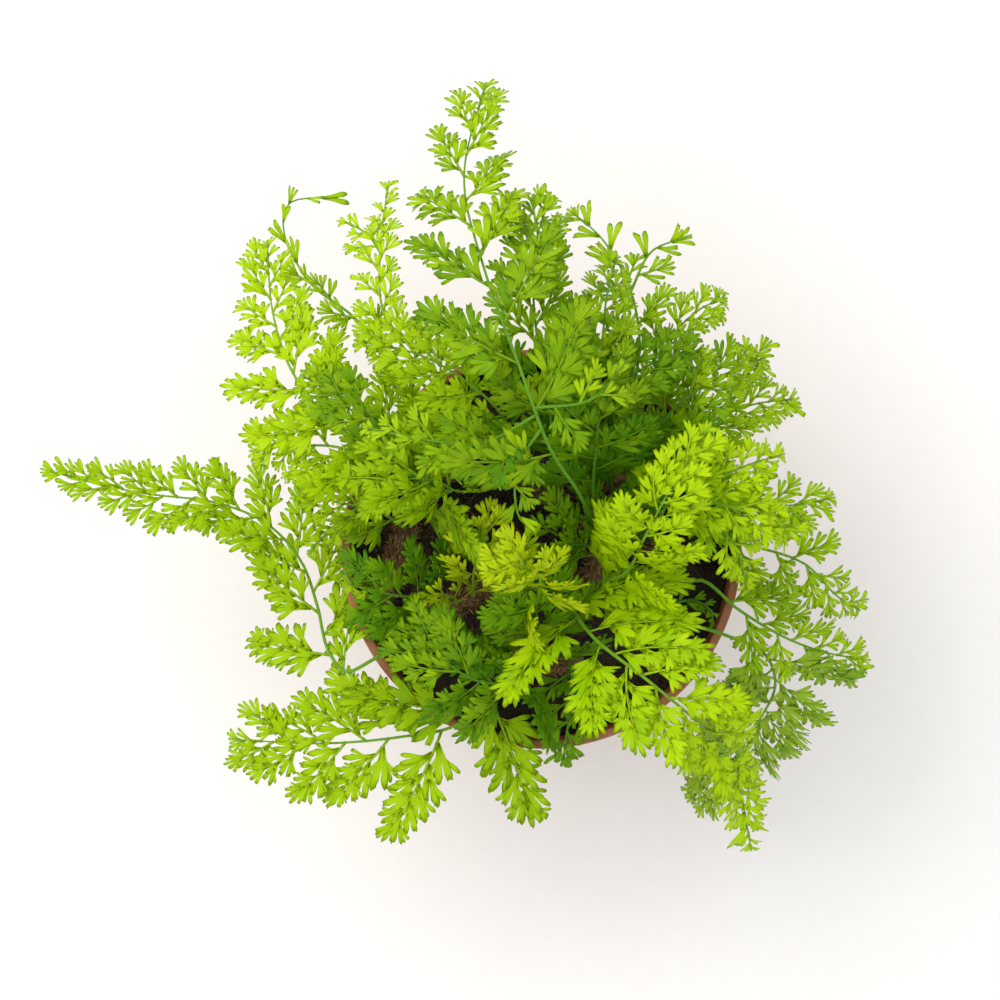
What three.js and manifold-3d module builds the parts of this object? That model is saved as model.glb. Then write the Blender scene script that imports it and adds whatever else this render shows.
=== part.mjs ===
// A potted fern: a thin plastic grower's pot, its soil, six creeping rhizomes and the fronds that rise
// from them.
// Millimetres, +Z up. The origin is the centre of the pot's base, on the surface that the pot stands on.
// A point of the plant is given as its bearing (degrees, anticlockwise from +X), its distance from the pot's
// axis and its height above the rim.

import * as THREE from 'three';
import { mergeVertices } from 'three/addons/utils/BufferGeometryUtils.js';
import Module from 'manifold-3d';

const wasm = await Module();
wasm.setup();

// ---- Driving dimensions: the pot and its soil ----

const POT_HEIGHT = 95;
const RIM_RADIUS = 60;
const BASE_RADIUS = 41;
const WALL = 1.3;
const LIP_WIDTH = 2.6;
const LIP_THICKNESS = 1.8;
const BAND_HEIGHT = 14;
const BAND_STEP = 1.6;
const FLOOR_THICKNESS = 1.8;
const DRAIN_RADIUS = 4;
const DRAIN_CIRCLE = 27;
const DRAIN_COUNT = 6;
const SOIL_DROP = 12;
const SOIL_DOME = 4;
const POT_SIDES = 40;

// ---- Driving dimensions: the plant ----

// The fronds' distances below are for a pot of this rim radius, and the plant spreads with its pot.
const LIST_RIM_RADIUS = 60;
const RHIZOME_RADIUS = 3.6;
const RHIZOME_BED = 0.3;
const BED_GAP = 0.7;
const RHIZOME_SIDES = 6;
const RHIZOME_STEPS = 8;
const STALK_RADIUS = 0.95;
const LIMB_RADIUS = 0.65;
const TIP_RADIUS = 0.45;
const STALK_LEAD = 5;
const PINNA_THICKNESS = 0.7;
const PINNA_SPACING = 9;
const PINNA_SLENDERNESS = 0.42;
const PINNA_BELLY = 0.4;
const SHORTEST_PINNA = 6;
const PINNA_ROOT = 1.5;
const BAR_SIDES = 4;
const BAR_STEP = 9;
const PINNA_LEAN_BASE = 68;
const PINNA_LEAN_TIP = 36;

// Neighbours that touch keep this gap.
const GAP = 0.35;
// A pinna that would touch a neighbour takes the first of these tilts, then of these lengths, that is clear.
const TILTS = [0, 12, -12, 24, -24, 38, -38, 54, -54, 72, -72];
const LENGTH_SHARES = [1, 0.8, 0.62, 0.46, 0.32, 0.2];

// ---- Rhizomes: bearing and distance of the points that each passes, lying on the soil ----

const RHIZOMES = {
  west: [[140, 36], [160, 41], [182, 43], [199, 51]],
  south_west: [[222, 14], [214, 26], [211, 41]],
  south: [[246, 28], [268, 34], [291, 36]],
  middle: [[285, 13], [325, 18], [5, 18], [38, 16]],
  north: [[66, 14], [95, 21], [118, 28]],
  east: [[318, 42], [345, 38], [10, 32], [40, 31], [66, 27]],
};

// ---- Fronds ----

// from: the rhizome that a frond grows on, and the share along it. half: its half-width. bare: the share of
// its line that is bare stalk. line: the points that its stalk and midrib pass. limbs: long side pinnae,
// which leave the line at a share along it.
const FRONDS = [
  {
    name: 'bright_east', tint: 'spring', from: ['middle', 0.3], half: 27, bare: 0.34,
    line: [[345, 25, 24], [8, 29, 45], [28, 41, 56], [37, 58, 50]], limbs: [],
  },
  {
    name: 'bright_south_east', tint: 'spring', from: ['middle', 0.08], half: 30, bare: 0.24,
    line: [[300, 29, 22], [309, 48, 40], [312, 68, 32], [311, 86, 14], [305, 111, -8]], limbs: [],
  },
  {
    name: 'young_middle', tint: 'young', from: ['south_west', 0.08], half: 14, bare: 0.5,
    line: [[250, 12, 20], [262, 8, 40], [200, 9, 52], [190, 16, 54]], limbs: [],
  },
  {
    name: 'young_north', tint: 'young', from: ['south_west', 0.4], half: 11, bare: 0.35,
    line: [[197, 21, 14], [170, 17, 26], [142, 20, 31]], limbs: [],
  },
  {
    name: 'young_south_west', tint: 'young', from: ['south_west', 0.6], half: 10, bare: 0.35,
    line: [[208, 30, 8], [202, 36, 16]], limbs: [],
  },
  {
    name: 'tall_north', tint: 'green', from: ['middle', 0.72], half: 34, bare: 0.42,
    line: [
      [35, 17, 20], [62, 20, 44], [88, 30, 64], [98, 53, 68], [102, 82, 54], [102, 110, 34], [97, 139, 12],
    ],
    limbs: [
      { at: 0.42, half: 15, line: [[120, 35, 70], [134, 43, 70], [145, 61, 54]] },
      { at: 0.43, half: 14, line: [[74, 44, 66], [67, 57, 56]] },
      { at: 0.4, half: 10, line: [[108, 25, 62], [125, 13, 58], [110, 6, 48]] },
    ],
  },
  {
    name: 'north', tint: 'green', from: ['north', 0.12], half: 24, bare: 0.42,
    line: [[82, 24, 24], [88, 42, 44], [92, 62, 50], [92, 84, 44], [89, 103, 30]], limbs: [],
  },
  {
    name: 'north_right', tint: 'green', from: ['middle', 0.84], half: 20, bare: 0.42,
    line: [[52, 24, 22], [66, 38, 42], [73, 56, 48], [76, 74, 40], [76, 88, 27]], limbs: [],
  },
  {
    name: 'north_west_broad', tint: 'green', from: ['north', 0.4], half: 24, bare: 0.4,
    line: [[102, 30, 26], [110, 46, 46], [121, 64, 50], [131, 80, 42]], limbs: [],
  },
  {
    name: 'north_west', tint: 'spring', from: ['north', 0.68], half: 13, bare: 0.5,
    line: [[119, 45, 26], [124, 64, 34], [124, 82, 34], [119, 98, 27], [113, 117, 12]],
    limbs: [{ at: 0.8, half: 8, line: [[119, 106, 20], [121, 113, 14]] }],
  },
  {
    name: 'curled', tint: 'green', from: ['north', 0.92], half: 15, bare: 0.55,
    line: [
      [122, 48, 14], [128, 70, 20], [129, 88, 18], [131, 105, 10], [129, 123, 0], [126, 129, -5],
      [120, 123, -10],
    ],
    limbs: [],
  },
  {
    name: 'west_broad', tint: 'spring', from: ['west', 0.07], half: 26, bare: 0.42,
    line: [[147, 52, 16], [149, 70, 20], [145, 89, 16], [139, 106, 6], [132, 124, -6]], limbs: [],
  },
  {
    name: 'west_arch', tint: 'green', from: ['west', 0.14], half: 20, bare: 0.4,
    line: [[141, 44, 24], [141, 60, 34], [143, 74, 30], [144, 87, 20]], limbs: [],
  },
  {
    name: 'west_upper', tint: 'spring', from: ['west', 0.24], half: 20, bare: 0.4,
    line: [[152, 50, 12], [153, 66, 15], [157, 79, 9], [161, 91, 2]], limbs: [],
  },
  {
    name: 'rim_west', tint: 'green', from: ['west', 0.48], half: 14, bare: 0.4,
    line: [[167, 50, 4], [167, 61, 5], [167, 73, 0]],
    limbs: [{ at: 0.55, half: 7, line: [[175, 64, 2], [180, 69, -3]] }],
  },
  {
    name: 'inner_west', tint: 'green', from: ['west', 0.36], half: 22, bare: 0.34,
    line: [[154, 36, 14], [146, 32, 30], [150, 42, 38], [162, 54, 32]], limbs: [],
  },
  {
    name: 'slender_north_east', tint: 'green', from: ['east', 0.86], half: 15, bare: 0.52,
    line: [[58, 46, 20], [65, 66, 32], [72, 81, 27], [79, 93, 17], [85, 101, 6]],
    limbs: [{ at: 0.66, half: 11, line: [[70, 93, 22], [65, 102, 14]] }],
  },
  {
    name: 'north_east', tint: 'green', from: ['east', 0.76], half: 17, bare: 0.45,
    line: [[52, 50, 16], [59, 70, 22], [57, 84, 18], [54, 92, 10]], limbs: [],
  },
  {
    name: 'dark_north_east', tint: 'deep', from: ['east', 0.94], half: 20, bare: 0.42,
    line: [[70, 34, 26], [68, 48, 40], [60, 62, 42], [52, 74, 32]], limbs: [],
  },
  {
    name: 'east_shoulder', tint: 'green', from: ['east', 0.66], half: 21, bare: 0.42,
    line: [[46, 44, 24], [47, 60, 32], [44, 74, 28], [41, 86, 18]], limbs: [],
  },
  {
    name: 'east_upper', tint: 'green', from: ['east', 0.57], half: 18, bare: 0.45,
    line: [[34, 48, 16], [37, 62, 20], [35, 74, 16], [31, 87, 6]], limbs: [],
  },
  {
    name: 'east_fan', tint: 'spring', from: ['east', 0.48], half: 16, bare: 0.42,
    line: [[21, 40, 28], [17, 49, 42], [10, 61, 42], [3, 75, 30]],
    limbs: [
      { at: 0.52, half: 11, line: [[2, 55, 36], [349, 61, 22]] },
      { at: 0.52, half: 12, line: [[23, 60, 44], [22, 74, 34]] },
    ],
  },
  {
    name: 'east_flat', tint: 'green', from: ['east', 0.39], half: 17, bare: 0.5,
    line: [[13, 46, 12], [12, 62, 16], [10, 76, 14], [10, 87, 8]], limbs: [],
  },
  {
    name: 'east_low', tint: 'green', from: ['east', 0.3], half: 20, bare: 0.48,
    line: [[4, 48, 5], [1, 62, 8], [357, 78, 5], [351, 90, -4], [349, 99, -14]], limbs: [],
  },
  {
    name: 'rim_east', tint: 'green', from: ['east', 0.2], half: 19, bare: 0.55,
    line: [[349, 48, 4], [343, 61, 7], [340, 78, 2], [340, 92, -6], [341, 104, -14]], limbs: [],
  },
  {
    name: 'hanging_east', tint: 'grey', from: ['east', 0.1], half: 26, bare: 0.42,
    line: [
      [333, 50, 4], [335, 61, 7], [335, 73, 2], [330, 82, -10], [322, 86, -26], [312, 90, -40],
      [301, 94, -54],
    ],
    limbs: [],
  },
  {
    name: 'long_west', tint: 'green', from: ['south_west', 0.95], half: 24, bare: 0.36,
    line: [
      [213, 52, 5], [213, 62, 7], [212, 69, 4], [205, 71, -2], [194, 70, -8], [183, 73, -10], [175, 83, -8],
      [172, 98, -4], [172, 122, 2], [171, 148, 6],
    ],
    limbs: [],
  },
  {
    name: 'inner_left', tint: 'green', from: ['south_west', 0.78], half: 15, bare: 0.4,
    line: [[203, 38, 10], [196, 47, 20], [190, 58, 16]], limbs: [],
  },
  {
    name: 'south_west', tint: 'green', from: ['south', 0.18], half: 33, bare: 0.24,
    line: [[250, 46, 4], [244, 58, 9], [233, 70, 6], [222, 87, 1], [212, 109, -6]], limbs: [],
  },
  {
    name: 'inner_south_west', tint: 'green', from: ['south', 0.42], half: 19, bare: 0.35,
    line: [[258, 40, 14], [240, 43, 24], [222, 43, 25], [208, 44, 16]], limbs: [],
  },
  {
    name: 'inner_south', tint: 'deep', from: ['south', 0.62], half: 14, bare: 0.4,
    line: [[268, 24, 12], [258, 17, 22], [232, 22, 24]], limbs: [],
  },
  {
    name: 'south_small', tint: 'deep', from: ['south', 0.84], half: 10, bare: 0.5,
    line: [[282, 44, 4], [278, 54, 8], [276, 63, 4]], limbs: [],
  },
  {
    name: 'inner_dark', tint: 'deep', from: ['middle', 0.54], half: 14, bare: 0.4,
    line: [[2, 14, 8], [20, 8, 20], [100, 8, 24]], limbs: [],
  },
  {
    name: 'inner_north_east', tint: 'deep', from: ['middle', 0.93], half: 15, bare: 0.4,
    line: [[38, 24, 10], [38, 38, 20], [40, 50, 16]], limbs: [],
  },
  {
    name: 'rim_shoot', tint: 'deep', from: ['east', 0.15], half: 5, bare: 0.5,
    line: [[341, 47, -2], [340, 54, 3], [336, 56, -1]], limbs: [],
  },
];

const TINTS = {
  young: 0xb9d335,
  spring: 0x93bf1f,
  green: 0x62991c,
  deep: 0x3f7a1c,
  grey: 0x6f9a45,
};

// ---- Solids ----

function solidOf(geometry) {
  const plain = geometry.clone();
  plain.deleteAttribute('normal');
  plain.deleteAttribute('uv');
  const merged = mergeVertices(plain, 1e-4);
  return new wasm.Manifold(new wasm.Mesh({
    numProp: 3,
    vertProperties: Float32Array.from(merged.attributes.position.array),
    triVerts: Uint32Array.from(merged.index.array),
  }));
}

function geometryOf(solid) {
  const mesh = solid.getMesh();
  const geometry = new THREE.BufferGeometry();
  geometry.setAttribute('position', new THREE.BufferAttribute(mesh.vertProperties, 3));
  geometry.setIndex(new THREE.BufferAttribute(mesh.triVerts, 1));
  geometry.computeVertexNormals();
  return geometry;
}

// A round bar of varying radius along a line: a closed cylinder whose rings are moved onto the line's frames.
function taperedBar(line, sides, steps, radiusAt) {
  const geometry = new THREE.CylinderGeometry(1, 1, 1, sides, steps);
  const frames = line.computeFrenetFrames(steps);
  const place = geometry.attributes.position;
  for (let i = 0; i < place.count; i++) {
    const share = place.getY(i) + 0.5;
    const ring = Math.round(share * steps);
    const radius = radiusAt(share);
    const point = line.getPointAt(share);
    point.addScaledVector(frames.normals[ring], place.getX(i) * radius);
    point.addScaledVector(frames.binormals[ring], -place.getZ(i) * radius);
    place.setXYZ(i, point.x, point.y, point.z);
  }
  return solidOf(geometry);
}

// A bar runs straight from ring to ring: the ring before a share along it, and the way to the one after.
function ringBefore(share, steps) {
  const ring = Math.min(steps - 1, Math.floor(share * steps));
  return { ring, way: share * steps - ring };
}

function pointOnBar(line, share, steps) {
  const { ring, way } = ringBefore(share, steps);
  return line.getPointAt(ring / steps).lerp(line.getPointAt((ring + 1) / steps), way);
}

// A profile of [radius, height] pairs turned round the pot's axis.
function turned(profile) {
  const points = profile.map(([radius, height]) => new THREE.Vector2(radius, height));
  return solidOf(new THREE.LatheGeometry(points, POT_SIDES).rotateX(Math.PI / 2));
}

// ---- The pot and its soil ----

// The wall tapers from the base up to the step under the band.
function outerRadiusAt(height) {
  const top = POT_HEIGHT - BAND_HEIGHT;
  const wallTop = RIM_RADIUS - LIP_WIDTH + WALL - BAND_STEP;
  return BASE_RADIUS + (wallTop - BASE_RADIUS) * height / top;
}

function potSolid() {
  const stepHeight = POT_HEIGHT - BAND_HEIGHT;
  const bandOuter = RIM_RADIUS - LIP_WIDTH + WALL;
  const bandInner = bandOuter - WALL;
  const profile = [
    [0, 0],
    [outerRadiusAt(0), 0],
    [outerRadiusAt(stepHeight), stepHeight],
    [bandOuter, stepHeight],
    [bandOuter, POT_HEIGHT - LIP_THICKNESS],
    [RIM_RADIUS, POT_HEIGHT - LIP_THICKNESS],
    [RIM_RADIUS, POT_HEIGHT],
    [bandInner, POT_HEIGHT],
    [bandInner, stepHeight + WALL],
    [outerRadiusAt(stepHeight) - WALL, stepHeight],
    [outerRadiusAt(FLOOR_THICKNESS) - WALL, FLOOR_THICKNESS],
    [0, FLOOR_THICKNESS],
  ];
  let pot = turned(profile);
  for (let i = 0; i < DRAIN_COUNT; i++) {
    const angle = i * 2 * Math.PI / DRAIN_COUNT;
    const drill = new THREE.CylinderGeometry(DRAIN_RADIUS, DRAIN_RADIUS, 4 * FLOOR_THICKNESS, 10);
    drill.rotateX(Math.PI / 2);
    drill.translate(DRAIN_CIRCLE * Math.cos(angle), DRAIN_CIRCLE * Math.sin(angle), 0);
    pot = pot.subtract(solidOf(drill));
  }
  return pot;
}

function soilRadius() {
  return RIM_RADIUS - LIP_WIDTH - GAP;
}

function soilHeightAt(distance) {
  const edge = POT_HEIGHT - SOIL_DROP;
  return edge + SOIL_DOME * (1 - (distance / soilRadius()) ** 2);
}

function soilSolid(beds) {
  const bottom = FLOOR_THICKNESS + GAP;
  const stepHeight = POT_HEIGHT - BAND_HEIGHT + WALL + GAP;
  const wallInside = (height) => outerRadiusAt(height) - WALL - GAP;
  const edge = POT_HEIGHT - SOIL_DROP;
  const profile = [[0, bottom], [wallInside(bottom), bottom]];
  if (edge > stepHeight) {
    profile.push([wallInside(POT_HEIGHT - BAND_HEIGHT), POT_HEIGHT - BAND_HEIGHT]);
    profile.push([wallInside(POT_HEIGHT - BAND_HEIGHT), stepHeight]);
    profile.push([soilRadius(), stepHeight]);
    profile.push([soilRadius(), edge]);
  } else {
    profile.push([wallInside(Math.min(edge, POT_HEIGHT - BAND_HEIGHT)), edge]);
  }
  const outer = profile[profile.length - 1][0];
  for (const share of [0.75, 0.5, 0.25]) {
    profile.push([outer * share, soilHeightAt(outer * share)]);
  }
  profile.push([0, soilHeightAt(0)]);
  return beds.reduce((soil, bed) => soil.subtract(bed), turned(profile));
}

// ---- Rhizomes ----

function flatPoint(bearing, distance) {
  const reach = distance * RIM_RADIUS / LIST_RIM_RADIUS;
  const angle = THREE.MathUtils.degToRad(bearing);
  return new THREE.Vector3(reach * Math.cos(angle), reach * Math.sin(angle), 0);
}

function rhizomeLine(route) {
  const points = route.map(([bearing, distance]) => {
    const point = flatPoint(bearing, distance);
    point.z = soilHeightAt(point.length()) + RHIZOME_BED * RHIZOME_RADIUS;
    return point;
  });
  return new THREE.CatmullRomCurve3(points);
}

// Full in the middle and rounded off at both ends.
function rhizomeRadius(share, extra) {
  const fullness = Math.sqrt(Math.max(0, 1 - Math.abs(2 * share - 1) ** 5));
  return RHIZOME_RADIUS * (0.2 + 0.8 * fullness) + extra;
}

function rhizomeSolid(line, extra) {
  return taperedBar(line, RHIZOME_SIDES, RHIZOME_STEPS, (share) => rhizomeRadius(share, extra));
}

// ---- Fronds ----

function plantPoint([bearing, distance, height]) {
  const point = flatPoint(bearing, distance);
  point.z = POT_HEIGHT + height;
  return point;
}

// The height of a rhizome's back at a share along it.
function rhizomeTop(line, share) {
  const { ring, way } = ringBefore(share, RHIZOME_STEPS);
  const [before, after] = [ring, ring + 1].map((place) => rhizomeRadius(place / RHIZOME_STEPS, 0));
  return pointOnBar(line, share, RHIZOME_STEPS).z + THREE.MathUtils.lerp(before, after, way);
}

// The stalk stands on the highest part of its rhizome's back that lies under it, leaves it straight up and
// then follows the frond's points.
function frondLine(frond, rhizomeLines) {
  const [rhizome, share] = frond.from;
  const under = rhizomeLines[rhizome];
  const reach = STALK_RADIUS / under.getLength();
  const foot = pointOnBar(under, share, RHIZOME_STEPS);
  foot.z = GAP + Math.max(...[-reach, 0, reach].map((shift) => rhizomeTop(under, share + shift)));
  const lead = foot.clone();
  lead.z += STALK_LEAD;
  return new THREE.CatmullRomCurve3([foot, lead, ...frond.line.map(plantPoint)]);
}

// A limb leaves its frond's line at a share along it.
function limbLine(line, limb) {
  const start = pointOnBar(line, limb.at, barSteps(line));
  return new THREE.CatmullRomCurve3([start, ...limb.line.map(plantPoint)]);
}

function barSteps(line) {
  return Math.max(4, Math.round(line.getLength() / BAR_STEP));
}

function barSolid(line, thickness) {
  const radiusAt = (share) => THREE.MathUtils.lerp(thickness, TIP_RADIUS, share);
  return taperedBar(line, BAR_SIDES, barSteps(line), radiusAt);
}


// A kite-shaped plate from its root along +X, grown all round by extra.
function pinnaPlate(length, extra) {
  const belly = PINNA_BELLY * length;
  const half = PINNA_SLENDERNESS * length / 2 + extra;
  const kite = new THREE.Shape([
    new THREE.Vector2(-extra, 0),
    new THREE.Vector2(belly, -half),
    new THREE.Vector2(length + 2 * extra, 0),
    new THREE.Vector2(belly, half),
  ]);
  const depth = PINNA_THICKNESS + 2 * extra;
  const plate = new THREE.ExtrudeGeometry(kite, { depth, bevelEnabled: false });
  plate.translate(0, 0, -depth / 2);
  return plate;
}

// The frame of a pinna: it leans forward from the midrib, to one side, and its tip is tilted up or down.
function pinnaFrame(line, share, side, lean, tilt) {
  const forward = line.getTangentAt(share);
  const across = new THREE.Vector3(0, 0, 1).cross(forward).normalize();
  const above = forward.clone().cross(across);
  const leanAngle = THREE.MathUtils.degToRad(lean);
  const tiltAngle = THREE.MathUtils.degToRad(tilt);
  const outward = across.multiplyScalar(side * Math.cos(tiltAngle));
  outward.addScaledVector(above, Math.sin(tiltAngle));
  const along = forward.multiplyScalar(Math.cos(leanAngle)).addScaledVector(outward, Math.sin(leanAngle));
  const width = above.cross(along).normalize();
  const normal = along.clone().cross(width);
  const root = pointOnBar(line, share, barSteps(line));
  return new THREE.Matrix4().makeBasis(along, width, normal).setPosition(root);
}

// Every pinna of one line: left and right by turns, shorter towards the tip, and one at the tip itself.
function pinnaPlan(line, half, bare) {
  const length = line.getLength();
  const count = Math.max(4, Math.round(length * (1 - bare) / PINNA_SPACING));
  const plan = [];
  for (let i = 0; i < count; i++) {
    const way = i / count;
    const lean = THREE.MathUtils.lerp(PINNA_LEAN_BASE, PINNA_LEAN_TIP, way);
    const size = Math.max(SHORTEST_PINNA, half * (1 - way) ** 0.8);
    plan.push({ line, share: bare + (1 - bare) * way, side: i % 2 ? 1 : -1, lean, size });
  }
  plan.push({ line, share: 1 - PINNA_ROOT / length, side: 1, lean: 0, size: SHORTEST_PINNA });
  return plan;
}

function boxesMeet(a, b) {
  return [0, 1, 2].every((axis) => a.min[axis] < b.max[axis] && b.min[axis] < a.max[axis]);
}

// True where nothing of another owner is in the way of a solid.
function isClear(solid, owner, placed) {
  const box = solid.boundingBox();
  const near = placed.filter((other) => other.owner !== owner && boxesMeet(box, other.box));
  return near.every((other) => solid.intersect(other.solid).isEmpty());
}

function placePinna(pinna, owner, placed) {
  for (const lengthShare of LENGTH_SHARES) {
    for (const tilt of TILTS) {
      const frame = pinnaFrame(pinna.line, pinna.share, pinna.side, pinna.lean, tilt);
      const size = pinna.size * lengthShare;
      const room = solidOf(pinnaPlate(size, GAP).applyMatrix4(frame));
      if (isClear(room, owner, placed)) {
        return solidOf(pinnaPlate(size, 0).applyMatrix4(frame));
      }
    }
  }
  throw new Error(`no room for a pinna of ${owner}`);
}

// ---- Assembly ----

function named(name, solid, color, roughness) {
  const mesh = new THREE.Mesh(geometryOf(solid), new THREE.MeshStandardMaterial({ color, roughness }));
  mesh.name = name;
  return mesh;
}

const pottedFern = new THREE.Group();
const rhizomeLines = Object.fromEntries(
  Object.entries(RHIZOMES).map(([name, route]) => [name, rhizomeLine(route)]),
);
const beds = Object.values(rhizomeLines).map((line) => rhizomeSolid(line, BED_GAP));
const placed = [];

function keep(owner, solid) {
  placed.push({ owner, solid, box: solid.boundingBox() });
}

const pot = potSolid();
const soil = soilSolid(beds);
keep('pot', pot);
keep('soil', soil);
pottedFern.add(named('pot', pot, 0xa5643f, 0.45), named('soil', soil, 0x33241b, 0.95));

for (const [name, line] of Object.entries(rhizomeLines)) {
  const rhizome = rhizomeSolid(line, 0);
  keep(name, rhizome);
  pottedFern.add(named(`rhizome_${name}`, rhizome, 0x8a6a45, 0.85));
}

// All stalks and midribs stand first, and the pinnae then find their room between them.
const grown = FRONDS.map((frond) => {
  const line = frondLine(frond, rhizomeLines);
  const limbs = frond.limbs.map((limb) => ({ ...limb, path: limbLine(line, limb) }));
  const bars = [barSolid(line, STALK_RADIUS), ...limbs.map((limb) => barSolid(limb.path, LIMB_RADIUS))];
  bars.forEach((bar) => keep(frond.name, bar));
  const plan = limbs.flatMap((limb) => pinnaPlan(limb.path, limb.half, 0.2));
  return { frond, bars, plan: [...pinnaPlan(line, frond.half, frond.bare), ...plan] };
});

for (const { frond, bars, plan } of grown) {
  const pinnae = plan.map((pinna) => {
    const solid = placePinna(pinna, frond.name, placed);
    keep(frond.name, solid);
    return solid;
  });
  const whole = [...bars, ...pinnae].reduce((sum, piece) => sum.add(piece));
  pottedFern.add(named(`frond_${frond.name}`, whole, TINTS[frond.tint], 0.5));
}

export default pottedFern;
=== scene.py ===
# %% [markdown]
# # A potted fern
# The object is a small lacy fern in a thin plastic grower's pot. Its thirty-five fronds rise from hairy
# rhizomes that creep over the soil. The CAD model holds the sizes: it is loaded as a fixed frame, and every
# finer piece here is built in the same frame, in metres, with +Z up and the origin under the pot.

# %% The frame
import math
from collections import namedtuple

import bpy
import numpy as np
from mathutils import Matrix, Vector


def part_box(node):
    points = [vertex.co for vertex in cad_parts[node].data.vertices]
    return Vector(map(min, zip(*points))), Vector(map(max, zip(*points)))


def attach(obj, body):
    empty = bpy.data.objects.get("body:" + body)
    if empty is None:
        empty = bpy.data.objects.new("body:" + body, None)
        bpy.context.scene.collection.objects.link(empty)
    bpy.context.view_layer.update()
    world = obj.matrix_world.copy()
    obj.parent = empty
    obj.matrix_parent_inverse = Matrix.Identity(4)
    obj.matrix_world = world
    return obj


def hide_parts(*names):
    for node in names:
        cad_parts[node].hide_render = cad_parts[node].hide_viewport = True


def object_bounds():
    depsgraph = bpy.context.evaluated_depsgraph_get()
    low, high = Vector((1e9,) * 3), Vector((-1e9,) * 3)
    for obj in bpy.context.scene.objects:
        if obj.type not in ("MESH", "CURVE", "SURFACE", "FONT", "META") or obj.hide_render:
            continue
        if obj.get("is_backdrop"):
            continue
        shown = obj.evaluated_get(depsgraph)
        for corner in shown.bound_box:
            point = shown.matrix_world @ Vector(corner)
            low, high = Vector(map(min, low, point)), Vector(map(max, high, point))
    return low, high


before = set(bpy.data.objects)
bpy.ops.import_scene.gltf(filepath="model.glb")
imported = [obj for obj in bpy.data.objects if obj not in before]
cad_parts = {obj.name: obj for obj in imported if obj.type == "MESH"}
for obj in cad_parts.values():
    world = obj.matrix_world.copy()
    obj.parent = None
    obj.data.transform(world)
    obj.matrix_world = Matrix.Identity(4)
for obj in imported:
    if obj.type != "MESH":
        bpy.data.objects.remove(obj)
cad_box = [list(corner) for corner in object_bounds()]
MM = 0.001
print("CAD box", [[round(x, 4) for x in corner] for corner in cad_box])

# %% [markdown]
# ## Camera, floor and light
# The camera comes first, so that every later piece is judged in its final place. It hangs straight above
# the pot and looks down through a long lens, which keeps the rim round. The floor is a wide pale plane, the
# sky a soft white, and one large lamp at the upper left gives the leaves a lit side and a faint shadow.

# %% The camera
RIM_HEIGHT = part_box("pot")[1].z
CAMERA_ABOVE_RIM = 0.9
CAMERA_ASIDE = (-12.5 * MM, 14.7 * MM)
FRAME_WIDTH = 0.3
SENSOR = 36
camera_data = bpy.data.cameras.new("camera")
camera_data.sensor_width = SENSOR
camera_data.lens = SENSOR * CAMERA_ABOVE_RIM / FRAME_WIDTH
camera = bpy.data.objects.new("camera", camera_data)
camera.location = (*CAMERA_ASIDE, RIM_HEIGHT + CAMERA_ABOVE_RIM)
bpy.context.scene.collection.objects.link(camera)
bpy.context.scene.camera = camera
bpy.context.scene.view_settings.view_transform = "Standard"
print("lens", camera_data.lens, "mm at", round(camera.location.z, 3), "m")

# %% The lamp and the sky
LAMP_PLACE = (-0.75, 0.6, 1.25)
LAMP_TARGET = (0, 0, 0.1)
LAMP_WIDTH = 0.8
LAMP_WATTS = 9
LAMP_COLOUR = (1.0, 0.985, 0.96)
SKY_COLOUR = (0.96, 0.97, 1.0, 1)

lamp_data = bpy.data.lights.new("window", "AREA")
lamp_data.size = LAMP_WIDTH
lamp_data.energy = LAMP_WATTS
lamp_data.color = LAMP_COLOUR
lamp = bpy.data.objects.new("window", lamp_data)
lamp.location = LAMP_PLACE
aim_x, aim_y, aim_z = np.subtract(LAMP_TARGET, LAMP_PLACE)
lamp.rotation_euler = (math.atan2(math.hypot(aim_x, aim_y), -aim_z), 0, math.atan2(-aim_x, aim_y))
bpy.context.scene.collection.objects.link(lamp)

sky = bpy.data.worlds.new("sky")
bpy.context.scene.world = sky
sky.use_nodes = True
sky.node_tree.nodes["Background"].inputs["Color"].default_value = SKY_COLOUR
print("lamps", [o.name for o in bpy.context.scene.objects if o.type == "LIGHT"])

# %% [markdown]
# ## Helpers for meshes
# Every new piece is a surface worked out as whole arrays. A heap gathers the parts of one piece, each part a
# set of points and faces with a few numbers per point that the material reads, and makes one mesh of them.

# %% A heap of parts that becomes one piece
FIELDS = ("across", "tone", "stalk")


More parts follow.
